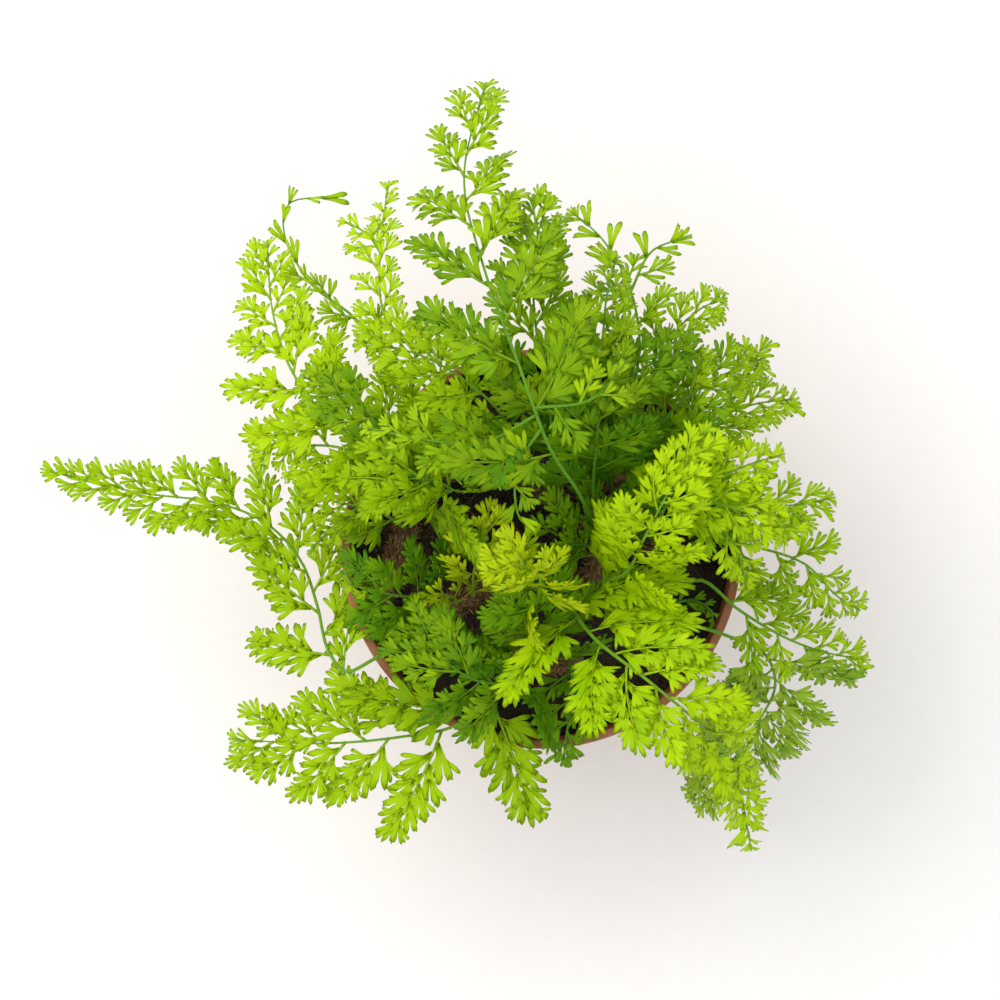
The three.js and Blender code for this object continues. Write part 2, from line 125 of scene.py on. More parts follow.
class Heap:
    """Points, faces and per-point numbers of one piece, gathered part by part."""

    def __init__(self):
        self.points = []
        self.faces = {3: [], 4: []}
        self.numbers = {field: [] for field in FIELDS}
        self.count = 0

    def add(self, points, faces, **numbers):
        """Adds points (any shape ending in 3), faces that index them, and one value or array per field."""
        points = np.reshape(points, (-1, 3))
        for one in faces:
            one = np.asarray(one)
            self.faces[one.shape[1]].append(one + self.count)
        for field in FIELDS:
            value = np.ravel(numbers.get(field, 0.0))
            self.numbers[field].append(np.broadcast_to(value, len(points)))
        self.points.append(points)
        self.count += len(points)

    def make(self, name, material):
        """One smooth-shaded mesh object of everything in the heap."""
        mesh = bpy.data.meshes.new(name)
        mesh.vertices.add(self.count)
        mesh.vertices.foreach_set("co", np.concatenate(self.points).astype(np.float32).ravel())
        loops, starts, start = [], [], 0
        for sides, parts in self.faces.items():
            if parts:
                faces = np.concatenate(parts)
                loops.append(faces.ravel())
                starts.append(start + sides * np.arange(len(faces)))
                start += faces.size
        mesh.loops.add(start)
        mesh.loops.foreach_set("vertex_index", np.concatenate(loops).astype(np.int32))
        starts = np.concatenate(starts).astype(np.int32)
        mesh.polygons.add(len(starts))
        mesh.polygons.foreach_set("loop_start", starts)
        for field in FIELDS:
            values = np.concatenate(self.numbers[field]).astype(np.float32)
            if values.any():
                mesh.attributes.new(field, "FLOAT", "POINT").data.foreach_set("value", values)
        mesh.update(calc_edges=True)
        mesh.shade_smooth()
        mesh.materials.append(material)
        made = bpy.data.objects.new(name, mesh)
        bpy.context.scene.collection.objects.link(made)
        return made


# %% [markdown]
# A grid of points becomes faces in one of three ways: a turned solid with a pole at each end, a tube with
# capped ends, or a pillow, which is two sheets that share their margin. All three are closed.

# %% Faces of a grid
def even_turns(count):
    """Angles that divide the full circle evenly."""
    return 2 * np.pi * np.arange(count) / count


def ring_faces(rings, sides):
    """Quads between rings of points that go round, ring after ring."""
    ring, side = np.meshgrid(np.arange(rings - 1), np.arange(sides), indexing="ij")
    here = ring * sides + side
    beside = ring * sides + (side + 1) % sides
    return np.stack([here, beside, beside + sides, here + sides], -1).reshape(-1, 4)


def repeated(faces, size, count):
    """The same faces for each of count parts that hold size points."""
    return (faces[None] + size * np.arange(count)[:, None, None]).reshape(-1, faces.shape[1])


def cap_faces(sides):
    """Quads that close one ring with an even number of sides, as strips across it."""
    i = np.arange(sides // 2 - 1)
    return np.stack([i, i + 1, sides - 2 - i, sides - 1 - i], -1)


def tube_faces(rings, sides):
    """A tube of rings, closed at both ends, for rings that go anticlockwise seen from its far end."""
    last = (rings - 1) * sides
    return np.concatenate([ring_faces(rings, sides), cap_faces(sides)[:, ::-1], cap_faces(sides) + last])


def pillow_faces(rows, columns):
    """Two sheets of rows x columns points that share their margin: the top sheet's points come first, and
    the bottom sheet brings only the points inside the margin. The result has all quads facing outwards."""
    top = np.arange(rows * columns).reshape(rows, columns)
    bottom = top.copy()
    inner = rows * columns + np.arange((rows - 2) * (columns - 2))
    bottom[1:-1, 1:-1] = inner.reshape(rows - 2, columns - 2)

    def quads(sheet):
        corners = [sheet[:-1, :-1], sheet[1:, :-1], sheet[1:, 1:], sheet[:-1, 1:]]
        return np.stack(corners, -1).reshape(-1, 4)

    return np.concatenate([quads(top), quads(bottom)[:, ::-1]])


# %% [markdown]
# ## Helpers for materials
# Shader maths reads best as ordinary arithmetic, so a small class wraps a number socket and lets Python's
# operators add the Math nodes. Every other node comes from one method of the paint shop.

# %% Shader maths as arithmetic
class Number:
    """A number socket of a material: + - * and ** build Math nodes."""

    def __init__(self, shop, socket):
        self.shop = shop
        self.socket = socket

    def maths(self, operation, first, second):
        return self.shop.number("ShaderNodeMath", {"operation": operation}, {0: first, 1: second})

    def __add__(self, other):
        return self.maths("ADD", self, other)

    def __sub__(self, other):
        return self.maths("SUBTRACT", self, other)

    def __rsub__(self, other):
        return self.maths("SUBTRACT", other, self)

    def __mul__(self, other):
        return self.maths("MULTIPLY", self, other)

    def __pow__(self, other):
        return self.maths("POWER", self, other)

    __radd__ = __add__
    __rmul__ = __mul__


class PaintShop:
    """One material and the methods that add nodes to it."""

    def __init__(self, name):
        self.material = bpy.data.materials.new(name)
        self.material.use_nodes = True
        self.tree = self.material.node_tree
        self.shader = self.tree.nodes["Principled BSDF"]

    def node(self, kind, settings, inputs):
        """A node of a type: its settings come first, then a value or a link for each socket."""
        made = self.tree.nodes.new(kind)
        for key, value in settings.items():
            setattr(made, key, value)
        self.fill(made, inputs)
        return made

    def fill(self, node, inputs):
        """Links each input of a node that comes from another node, and sets the others."""
        for key, value in inputs.items():
            if isinstance(value, Number):
                value = value.socket
            if isinstance(value, bpy.types.NodeSocket):
                self.tree.links.new(value, node.inputs[key])
            else:
                node.inputs[key].default_value = value

    def number(self, kind, settings, inputs, output=0):
        """The number that a node gives."""
        return Number(self, self.node(kind, settings, inputs).outputs[output])

    def field(self, name):
        """A number that the mesh holds at each point."""
        return self.number("ShaderNodeAttribute", {"attribute_name": name}, {}, "Fac")

    def place(self):
        """The place of each point in the object's own space."""
        return self.node("ShaderNodeTexCoord", {}, {}).outputs["Object"]

    def noise(self, size, detail=3.0, roughness=0.5):
        """Cloudy noise from 0 to 1, with features of about the given size in metres."""
        inputs = {"Scale": 1 / size, "Detail": detail, "Roughness": roughness, "Vector": self.place()}
        return self.number("ShaderNodeTexNoise", {}, inputs, "Fac")

    def steps(self, value, low, high):
        """A smooth step of value, from 0 at low to 1 at high."""
        settings = {"interpolation_type": "SMOOTHSTEP"}
        inputs = {"Value": value, "From Min": low, "From Max": high}
        return self.number("ShaderNodeMapRange", settings, inputs)

    def stripes(self, value, count):
        """A cosine of value, from 0 to 1, that repeats count times for each 1 of it."""
        turn = value * (2 * math.pi * count)
        cosine = self.number("ShaderNodeMath", {"operation": "COSINE"}, {0: turn})
        return cosine * 0.5 + 0.5

    def blend(self, share, first, second):
        """Mixes two colours."""
        inputs = {0: share, 6: first, 7: second}
        return self.node("ShaderNodeMix", {"data_type": "RGBA"}, inputs).outputs[2]

    def bump(self, height, depth, strength=1.0):
        """A normal from a height of 0 to 1 that stands for depth metres."""
        inputs = {"Height": height, "Distance": depth, "Strength": strength}
        return self.node("ShaderNodeBump", {}, inputs).outputs["Normal"]

    def finish(self, **sockets):
        """Sets the surface shader's own sockets and gives the material back."""
        named = {key.replace("_", " ").title().replace("Ior", "IOR"): sockets[key] for key in sockets}
        self.fill(self.shader, named)
        return self.material


def paint(code):
    """A colour from its usual six-figure code, in the linear values that shaders use."""
    parts = np.array([int(code[i:i + 2], 16) for i in (0, 2, 4)]) / 255
    linear = np.where(parts <= 0.04045, parts / 12.92, ((parts + 0.055) / 1.055) ** 2.4)
    return (*linear, 1.0)


# %% The floor
floor_shop = PaintShop("pale_floor")
floor_grain = floor_shop.noise(0.004)
floor_tone = floor_shop.blend(floor_grain, paint("f6f3ef"), paint("faf7f3"))
floor_material = floor_shop.finish(base_color=floor_tone, roughness=0.85)
floor_heap = Heap()
FLOOR_HALF = 3.0
floor_corners = np.array([[-1, -1, 0], [1, -1, 0], [1, 1, 0], [-1, 1, 0]]) * FLOOR_HALF
floor_heap.add(floor_corners, [[[0, 1, 2, 3]]])
floor = floor_heap.make("floor", floor_material)
floor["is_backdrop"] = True
print("floor", 2 * FLOOR_HALF, "m wide")

# %% [markdown]
# ## The pot
# A grower's pot is thin injection-moulded plastic: a tapered wall, a straight band with a step under it,
# a narrow flat lip and a base with drain holes. It could be joined from cylinders, but one profile turned
# round the axis gives the true wall, with every edge softened as a mould leaves it. The holes are then
# drilled.

# %% The pot's dimensions
RIM_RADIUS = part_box("pot")[1].x
BASE_RADIUS = 41 * MM
WALL = 1.3 * MM
LIP_WIDTH = 2.6 * MM
LIP_THICKNESS = 1.8 * MM
BAND_HEIGHT = 14 * MM
BAND_STEP = 1.6 * MM
FLOOR_THICKNESS = 1.8 * MM
DRAIN_RADIUS = 4 * MM
DRAIN_CIRCLE = 27 * MM
DRAIN_COUNT = 6
DRILL_SIDES = 32
EDGE_ROUNDING = 0.7 * MM
SHARP_EDGE = math.radians(40)
POT_SEGMENTS = 192
BAND_OUTER = RIM_RADIUS - LIP_WIDTH + WALL
STEP_HEIGHT = RIM_HEIGHT - BAND_HEIGHT
print("rim radius", round(RIM_RADIUS, 4), "height", round(RIM_HEIGHT, 4))


# %% The pot's profile
def wall_radius(height):
    """The outside of the tapered wall, from the base up to the step under the band."""
    return BASE_RADIUS + (BAND_OUTER - BAND_STEP - BASE_RADIUS) * height / STEP_HEIGHT


def softened(corners, radius, steps=4):
    """A closed-at-the-axis outline with each inner corner swept round: at a corner the outline leaves one
    side, follows a parabola that the corner pulls on, and joins the next side."""
    corners = np.array(corners, float)
    before, corner, after = corners[:-2], corners[1:-1], corners[2:]
    reach_before = np.linalg.norm(before - corner, axis=1, keepdims=True)
    reach_after = np.linalg.norm(after - corner, axis=1, keepdims=True)
    near = np.minimum(radius, 0.45 * np.minimum(reach_before, reach_after))
    start = corner + (before - corner) / reach_before * near
    end = corner + (after - corner) / reach_after * near
    t = np.linspace(0, 1, steps + 1)[None, :, None]
    swept = (1 - t) ** 2 * start[:, None] + 2 * t * (1 - t) * corner[:, None] + t ** 2 * end[:, None]
    return np.concatenate([corners[:1], swept.reshape(-1, 2), corners[-1:]])


def turned(heap, radius, height, **numbers):
    """A solid turned round the axis. radius and height are grids of profile point x angle, and the first and
    last rows lie on the axis, where each becomes a single pole."""
    rows, sides = radius.shape
    angle = even_turns(sides)
    points = np.stack([radius * np.cos(angle), radius * np.sin(angle), height + 0 * radius], -1)
    inner = points[1:-1].reshape(-1, 3)
    poles = np.array([[0, 0, height[0, 0]], [0, 0, height[-1, 0]]])
    rings = ring_faces(rows - 2, sides)
    first, last = len(inner), len(inner) + 1
    i = np.arange(sides)
    j = (i + 1) % sides
    end = (rows - 3) * sides
    start_fan = np.stack([np.full(sides, first), j, i], -1)
    end_fan = np.stack([np.full(sides, last), end + i, end + j], -1)
    heap.add(np.concatenate([inner, poles]), [rings, start_fan, end_fan], **numbers)


POT_OUTLINE = softened(
    [
        (0, 0),
        (wall_radius(0), 0),
        (wall_radius(STEP_HEIGHT), STEP_HEIGHT),
        (BAND_OUTER, STEP_HEIGHT),
        (BAND_OUTER, RIM_HEIGHT - LIP_THICKNESS),
        (RIM_RADIUS, RIM_HEIGHT - LIP_THICKNESS),
        (RIM_RADIUS, RIM_HEIGHT),
        (BAND_OUTER - WALL, RIM_HEIGHT),
        (BAND_OUTER - WALL, STEP_HEIGHT + WALL),
        (wall_radius(STEP_HEIGHT) - WALL, STEP_HEIGHT),
        (wall_radius(FLOOR_THICKNESS) - WALL, FLOOR_THICKNESS),
        (0, FLOOR_THICKNESS),
    ],
    EDGE_ROUNDING,
)
print("pot outline", len(POT_OUTLINE), "points")

# %% [markdown]
# The plastic is terracotta-brown with a satin skin. What makes it read as moulded plastic and not clay is a
# broad soft highlight, a very fine pebble in the skin, faint scuffs, and dust that clings low on the wall.

# %% The pot's plastic
plastic_shop = PaintShop("terracotta_plastic")
cloud = plastic_shop.noise(0.03, 4)
pebble = plastic_shop.noise(0.0006, 2)
scuff = plastic_shop.steps(plastic_shop.noise(0.002, 6, 0.7), 0.56, 0.72)
plastic_tone = plastic_shop.blend(cloud, paint("9a5a38"), paint("a9683f"))
plastic_tone = plastic_shop.blend(scuff * 0.25, plastic_tone, paint("c49a7c"))
height_on_pot = plastic_shop.node("ShaderNodeSeparateXYZ", {}, {0: plastic_shop.place()}).outputs[2]
dust = (1 - plastic_shop.steps(height_on_pot, 0.0, 0.03)) * plastic_shop.noise(0.004, 5)
plastic_tone = plastic_shop.blend(dust * 0.35, plastic_tone, paint("8c7a68"))
plastic = plastic_shop.finish(
    base_color=plastic_tone,
    roughness=0.38 + 0.12 * cloud + 0.2 * scuff,
    normal=plastic_shop.bump(pebble, 0.05 * MM, 0.5),
)

# %% The pot
pot_heap = Heap()
pot_radius = np.repeat(POT_OUTLINE[:, :1], POT_SEGMENTS, 1)
pot_height = np.repeat(POT_OUTLINE[:, 1:], POT_SEGMENTS, 1)
turned(pot_heap, pot_radius, pot_height)
pot = pot_heap.make("growers_pot", plastic)


def drill_out(piece, centres, radius, depth):
    """Cuts round holes straight down through a piece, and keeps the result as its mesh."""
    angle = even_turns(DRILL_SIDES)
    ring = np.stack([radius * np.cos(angle), radius * np.sin(angle), 0 * angle], -1)
    drill_heap = Heap()
    for x, y in centres:
        rings = np.stack([ring + (x, y, -depth), ring + (x, y, depth)])
        drill_heap.add(rings, [tube_faces(2, DRILL_SIDES)])
    drill = drill_heap.make("drill", plastic)
    cut = piece.modifiers.new("holes", "BOOLEAN")
    cut.operation = "DIFFERENCE"
    cut.object = drill
    graph = bpy.context.evaluated_depsgraph_get()
    cut_mesh = bpy.data.meshes.new_from_object(piece.evaluated_get(graph))
    piece.modifiers.clear()
    piece.data = cut_mesh
    bpy.data.objects.remove(drill)


drain_angles = even_turns(DRAIN_COUNT)
drain_places = DRAIN_CIRCLE * np.stack([np.cos(drain_angles), np.sin(drain_angles)], -1)
drill_out(pot, drain_places, DRAIN_RADIUS, 2 * FLOOR_THICKNESS)
pot.data.shade_smooth()
pot.data.set_sharp_from_angle(angle=SHARP_EDGE)
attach(pot, "root")
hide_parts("pot")
print("pot", len(pot.data.polygons), "faces")

# %% [markdown]
# ## The soil
# Potting peat is a dark crumbly bed with a lumpy surface, loose crumbs on top and a few pale roots and bark
# fibres. The bed is one closed solid whose top is pushed up and down by layered waves, and the loose pieces
# are real small lumps lying on it, because crumbs cast the tiny shadows that a bump map can't.

# %% The soil's shape
SOIL_TOP = RIM_HEIGHT - 12 * MM
SOIL_DOME = 4 * MM
SOIL_GAP = 0.35 * MM
SOIL_RADIUS = RIM_RADIUS - LIP_WIDTH - SOIL_GAP
SOIL_SEGMENTS = 220
SOIL_RINGS = 75


def waves(x, y, size, seed, layers=22):
    """Smooth bumps of about a given size: a sum of plane waves with random directions and phases, each
    weaker as it gets finer, from about -1 to 1."""
    rng = np.random.default_rng(seed)
    total = 0
    for _ in range(layers):
        turn, phase = rng.uniform(0, 2 * np.pi, 2)
        fine = rng.uniform(0.7, 3.5)
        way = (x * np.cos(turn) + y * np.sin(turn)) * 2 * np.pi * fine / size
        total = total + np.sin(way + phase) / fine
    return total / math.sqrt(layers)


def soil_height(x, y):
    """The dome of the bed with lumps on it."""
    reach = np.hypot(x, y) / SOIL_RADIUS
    lumps = 0.8 * MM * waves(x, y, 14 * MM, 3) + 0.5 * MM * waves(x, y, 4 * MM, 4)
    return SOIL_TOP + SOIL_DOME * (1 - reach ** 2) + lumps


def soil_bed(heap):
    """The bed as a turned solid: up the axis from below, out along the bottom, up the side and back in over
    the lumpy top."""
    bottom = FLOOR_THICKNESS + SOIL_GAP
    shoulder = STEP_HEIGHT + WALL + SOIL_GAP
    side = [
        (0, bottom),
        (wall_radius(bottom) - WALL - SOIL_GAP, bottom),
        (wall_radius(STEP_HEIGHT) - WALL - SOIL_GAP, STEP_HEIGHT),
        (wall_radius(STEP_HEIGHT) - WALL - SOIL_GAP, shoulder),
        (SOIL_RADIUS, shoulder),
    ]
    across = np.linspace(1, 0, SOIL_RINGS)
    reach = np.concatenate([[r for r, _ in side], SOIL_RADIUS * across])
    radius = np.repeat(reach[:, None], SOIL_SEGMENTS, 1)
    angle = even_turns(SOIL_SEGMENTS)
    top = soil_height(radius * np.cos(angle), radius * np.sin(angle))
    low = np.repeat(np.array([z for _, z in side])[:, None], SOIL_SEGMENTS, 1)
    height = np.concatenate([low, np.maximum(top[len(side):], shoulder + 0.2 * MM)])
    turned(heap, radius, height)


# %% [markdown]
# The peat's colour is nearly black where it is damp and brown where it dries, with lighter specks.

# %% The peat
def peat_material():
    """Nearly black peat that dries brown in patches, with grit and pale specks."""
    shop = PaintShop("damp_peat")
    patches = shop.steps(shop.noise(0.012, 4), 0.35, 0.7)
    grit = shop.noise(0.0012, 5, 0.7)
    specks = shop.steps(shop.noise(0.0007, 2), 0.66, 0.72)
    tone = shop.blend(patches, paint("1d130d"), paint("33231a"))
    tone = shop.blend(shop.steps(grit, 0.45, 0.75), tone, paint("4a3526"))
    tone = shop.blend(specks * 0.6, tone, paint("8a6a4a"))
    return shop.finish(base_color=tone, roughness=0.8 + 0.15 * grit, normal=shop.bump(grit, 0.8 * MM))


peat = peat_material()
soil_heap = Heap()
soil_bed(soil_heap)


# %% Crumbs and fibres on the bed
def lumps(heap, centres, sizes, seed):
    """Small irregular lumps: each is a ball of two rings of six points and two poles, every point pushed in
    or out at random, and flattened a little. All lumps are worked out together."""
    rng = np.random.default_rng(seed)
    count = len(centres)
    turn = np.arange(6) * np.pi / 3
    low = np.stack([np.cos(turn), np.sin(turn), np.full(6, -0.5)], -1) * 0.87
    high = np.stack([np.cos(turn + 0.5), np.sin(turn + 0.5), np.full(6, 0.5)], -1) * 0.87
    ball = np.concatenate([low, high, [[0, 0, -1], [0, 0, 1]]])
    shape = ball[None] * rng.uniform(0.65, 1.2, (count, len(ball), 1))
    shape = shape * rng.uniform(0.6, 1.2, (count, 1, 3)) * np.reshape(sizes, (-1, 1, 1))
    spin = rng.uniform(0, 2 * np.pi, count)
    c, s = np.cos(spin)[:, None], np.sin(spin)[:, None]
    x = shape[..., 0] * c - shape[..., 1] * s
    y = shape[..., 0] * s + shape[..., 1] * c
    points = np.stack([x, y, shape[..., 2]], -1) + centres[:, None]
    i = np.arange(6)
    j = (i + 1) % 6
    sides = np.stack([i, j, j + 6, i + 6], -1)
    below = np.stack([np.full(6, 12), j, i], -1)
    above = np.stack([np.full(6, 13), i + 6, j + 6], -1)
    faces = [repeated(part, len(ball), count) for part in (sides, below, above)]
    heap.add(points, faces, tone=np.repeat(rng.uniform(0, 1, count), len(ball)))


def strands(heap, roots, ways, lengths, radius, curl, seed, rings=4, **numbers):
    """Thin tapering hairs of four sides each. A hair runs from its root along its way and bends more and
    more towards a random side: place = root + length x (t x way + curl x t squared x side)."""
    rng = np.random.default_rng(seed)
    count = len(roots)
    side = rng.normal(size=(count, 3))
    side /= np.linalg.norm(side, axis=1, keepdims=True)
    t = np.linspace(0, 1, rings)[None, :, None]
    reach = t * ways[:, None] + curl * t ** 2 * side[:, None]
    line = roots[:, None] + np.reshape(lengths, (-1, 1, 1)) * reach
    spare = np.where(np.abs(ways[:, 2:]) > 0.9, [[1.0, 0, 0]], [[0, 0, 1.0]])
    first = np.cross(ways, spare)
    first /= np.linalg.norm(first, axis=1, keepdims=True)
    second = np.cross(ways, first)
    thick = radius * (1 - 0.8 * t[..., None])
    angle = np.arange(4) * np.pi / 2
    ring = first[:, None, None] * np.cos(angle)[:, None] + second[:, None, None] * np.sin(angle)[:, None]
    points = line[:, :, None] + ring * thick
    heap.add(points, [repeated(tube_faces(rings, 4), 4 * rings, count)], **numbers)


def scattered(count, reach, seed):
    """Random places spread evenly over a disc."""
    rng = np.random.default_rng(seed)
    angle = rng.uniform(0, 2 * np.pi, count)
    distance = reach * np.sqrt(rng.uniform(0, 1, count))
    return np.stack([distance * np.cos(angle), distance * np.sin(angle)], -1)


def on_soil(flat, lift):
    """Places on the bed, lifted off it a little."""
    return np.concatenate([flat, (soil_height(flat[:, 0], flat[:, 1]) + lift)[:, None]], 1)


CRUMB_COUNT = 2600
CRUMB_RADIUS = 0.35 * MM
CRUMB_SPREAD = 1.1 * MM
FIBRE_COUNT = 420
FIBRE_RADIUS = 0.16 * MM
FIBRE_CURL = 0.18
soil_rng = np.random.default_rng(11)
crumb_sizes = CRUMB_RADIUS + CRUMB_SPREAD * soil_rng.uniform(0, 1, CRUMB_COUNT) ** 3
crumb_places = on_soil(scattered(CRUMB_COUNT, 0.96 * SOIL_RADIUS, 12), 0.25 * MM)
lumps(soil_heap, crumb_places, crumb_sizes, 13)
soil = soil_heap.make("peat_bed", peat)
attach(soil, "root")
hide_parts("soil")
print("soil", len(soil.data.polygons), "faces")

# %% Bark fibres
def fibre_material():
    """Brown fibre that drifts from dark to pale."""
    shop = PaintShop("bark_fibre")
    tone = shop.blend(shop.noise(0.003, 3), paint("4b3222"), paint("8a6848"))
    return shop.finish(base_color=tone, roughness=0.85, normal=shop.bump(shop.noise(0.0004), 0.1 * MM))


fibre_turns = soil_rng.uniform(0, 2 * np.pi, FIBRE_COUNT)
fibre_ways = np.stack([np.cos(fibre_turns), np.sin(fibre_turns), 0.12 + 0 * fibre_turns], -1)
fibre_roots = on_soil(scattered(FIBRE_COUNT, 0.84 * SOIL_RADIUS, 14), 0.5 * MM)
fibre_heap = Heap()
fibre_lengths = soil_rng.uniform(3, 9, FIBRE_COUNT) * MM
strands(fibre_heap, fibre_roots, fibre_ways, fibre_lengths, FIBRE_RADIUS, FIBRE_CURL, 15)
fibres = fibre_heap.make("bark_fibres", fibre_material())
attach(fibres, "root")
print("fibres", len(fibres.data.polygons), "faces")

# %% [markdown]
# ## Lines to grow along
# Rhizomes, stalks and midribs follow smooth lines through a few chosen points. Each point is given as its
# bearing in degrees from +X, its distance from the pot's axis and its height above the rim, in millimetres.
# A centripetal Catmull-Rom curve passes through the points without loops, and is then walked in even steps.

# %% A smooth line through points
CURVE_STEPS = 40


def plant_place(bearing, distance, height):
    """A point of the plant in the frame, in metres."""
    angle = np.radians(bearing)
    return np.array([distance * MM * np.cos(angle), distance * MM * np.sin(angle), height])


def unit(v):
    """Vectors of the same direction and a length of 1."""
    return v / np.maximum(np.linalg.norm(v, axis=-1, keepdims=True), 1e-12)


def between(place, places, values):
    """Values with three columns, read off at a place between the places they are known at."""
    return np.stack([np.interp(place, places, values[..., k]) for k in range(3)], -1)


def smooth_line(points, count):
    """Between each two points runs a cubic whose slopes at the ends come from the neighbours, each pair
    weighed by the square root of its distance. The curve is then resampled at count even steps."""
    p = np.array(points, float)
    p = np.concatenate([[2 * p[0] - p[1]], p, [2 * p[-1] - p[-2]]])
    p0, p1, p2, p3 = p[:-3], p[1:-2], p[2:-1], p[3:]
    pairs = ((p0, p1), (p1, p2), (p2, p3))
    gap0, gap1, gap2 = (np.sqrt(np.linalg.norm(b - a, axis=1, keepdims=True)) for a, b in pairs)
    slope1 = ((p1 - p0) / gap0 - (p2 - p0) / (gap0 + gap1) + (p2 - p1) / gap1) * gap1
    slope2 = ((p2 - p1) / gap1 - (p3 - p1) / (gap1 + gap2) + (p3 - p2) / gap2) * gap1
    t = np.linspace(0, 1, CURVE_STEPS, endpoint=False)[None, :, None]
    cubic = 2 * p1 - 2 * p2 + slope1 + slope2
    square = 3 * p2 - 3 * p1 - 2 * slope1 - slope2
    curve = p1[:, None] + t * slope1[:, None] + t ** 2 * square[:, None] + t ** 3 * cubic[:, None]
    curve = np.concatenate([curve.reshape(-1, 3), p[-2:-1]])
    walked = np.concatenate([[0], np.cumsum(np.linalg.norm(np.diff(curve, axis=0), axis=1))])
    even = np.linspace(0, walked[-1], count)
    return between(even, walked, curve)


class Path:
    """A line in space with a frame at each of its points, forward along it, across it and above, and the
    distance walked to each point."""

    def __init__(self, points, forward, across, above, walked):
        self.points = points
        self.forward = forward
        self.across = across
        self.above = above
        self.walked = walked
        self.length = walked[-1]

    def at(self, walked):
        """Place and frame at a distance along the line, straight on beyond its ends."""
        inside = np.clip(walked, self.walked[0], self.length)
        lines = (self.points, self.forward, self.across, self.above)
        place, forward, across, above = [between(inside, self.walked, values) for values in lines]
        return place + (walked - inside)[..., None] * forward, forward, across, above


def level_path(points):
    """A path whose across is level with the ground. Where the line stands upright, across follows the
    line's general heading."""
    steps = np.linalg.norm(np.diff(points, axis=0), axis=1)
    forward = unit(np.gradient(points, axis=0))
    heading = points[-1] - points[len(points) // 3]
    level = forward * (1, 1, 0) + 0.12 * unit(heading * (1, 1, 0))
    above = unit(np.cross(forward, unit(np.cross([0, 0, 1.0], level))))
    return Path(points, forward, np.cross(above, forward), above, np.concatenate([[0], np.cumsum(steps)]))


# %% A tube along a path
def stalk_tube(heap, path, radius, sides, flat=1.0, **numbers):
    """Rings of points across a path. radius gives the half-width at each point of the path, or at each
    point of each ring, and flat is the height as a share of the width."""
    angle = even_turns(sides)
    wide = path.across[:, None] * np.cos(angle)[None, :, None]
    high = path.above[:, None] * np.sin(angle)[None, :, None] * flat
    rings = len(path.points)
    points = path.points[:, None] + (wide + high) * np.reshape(radius, (rings, -1, 1))
    heap.add(points, [tube_faces(rings, sides)[:, ::-1]], **numbers)


# %% [markdown]
# ## The rhizomes
# A rabbit's-foot fern creeps over the soil on thick rhizomes covered in papery tan scales and fine hairs.
# Each is a tube that swells and narrows a little, clad in overlapping scales and a coat of short strands.

# %% The rhizomes' routes
RHIZOMES = {
    "west": [(140, 36), (160, 41), (182, 43), (199, 51)],
    "south_west": [(222, 14), (214, 26), (211, 41)],
    "south": [(246, 28), (268, 34), (291, 36)],
    "middle": [(285, 13), (325, 18), (5, 18), (38, 16)],
    "north": [(66, 14), (95, 21), (118, 28)],
    "east": [(318, 42), (345, 38), (10, 32), (40, 31), (66, 27)],
}
RHIZOME_RADIUS = 3.6 * MM
RHIZOME_BED = 0.3
RHIZOME_STEPS = 60
RHIZOME_SIDES = 20
UNDER_SCALES = 0.93
SCALES_PER_MM = 16
HAIR_RADIUS = 0.05 * MM
HAIR_CURL = 0.3


def rhizome_path(route):
    """The line of a rhizome, partly bedded in the domed soil: height = dome + bed x radius."""
    points = []
    for bearing, distance in route:
        dome = SOIL_DOME * (1 - (distance * MM / SOIL_RADIUS) ** 2)
        height = SOIL_TOP + dome + RHIZOME_BED * RHIZOME_RADIUS
        points.append(plant_place(bearing, distance, height))
    return level_path(smooth_line(points, RHIZOME_STEPS))


def rhizome_radius(share):
    """Full in the middle and rounded off at both ends."""
    fullness = np.sqrt(np.clip(1 - np.abs(2 * share - 1) ** 5, 0, None))
    return RHIZOME_RADIUS * (0.2 + 0.8 * fullness)


rhizome_paths = {name: rhizome_path(route) for name, route in RHIZOMES.items()}
print("rhizomes", {name: round(path.length, 4) for name, path in rhizome_paths.items()})


# %% The rhizomes' scales and hair
def rhizome_piece(name, path, material, seed):
    """A knobbly tube, scales set at random round it that point along it, and a coat of hairs."""
    rng = np.random.default_rng(seed)
    heap = Heap()
    share = path.walked / path.length
    angle = even_turns(RHIZOME_SIDES)
    swell = 0.07 * np.sin(31 * share[:, None] + 2 * np.sin(angle))
    knobs = 0.05 * np.sin(5 * angle + 60 * share[:, None])
    radius = rhizome_radius(share)[:, None] * (1 + swell + knobs) * UNDER_SCALES
    stalk_tube(heap, path, radius, RHIZOME_SIDES, tone=0.35)

    count = int(path.length / MM * SCALES_PER_MM)
    walked = rng.uniform(0.02, 0.98, count) * path.length
    turn = rng.uniform(-0.35, np.pi + 0.35, count)
    place, forward, across, above = path.at(walked)
    outward = across * np.cos(turn)[:, None] + above * np.sin(turn)[:, None]
    skin = rhizome_radius(walked / path.length)[:, None] * UNDER_SCALES
    roots = place + outward * skin
    along = forward * rng.choice([-1, 1], count)[:, None]
    ways = unit(along * 0.9 + outward * 0.35 + 0.5 * rng.normal(size=(count, 3)))
    scales(heap, roots, ways, outward, rng.uniform(1.6, 3.0, count) * MM, rng)
    hair = rng.integers(0, count, 2 * count)
    lean = unit(ways[hair] * 0.6 + outward[hair] * 0.9 + 0.6 * rng.normal(size=(2 * count, 3)))
    hair_lengths = rng.uniform(0.8, 2.2, 2 * count) * MM
    strands(heap, roots[hair], lean, hair_lengths, HAIR_RADIUS, HAIR_CURL, seed, rings=3, tone=0.9)
    piece = heap.make(f"creeping_rhizome_{name}", material)
    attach(piece, "root")
    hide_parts(f"rhizome_{name}")
    return piece


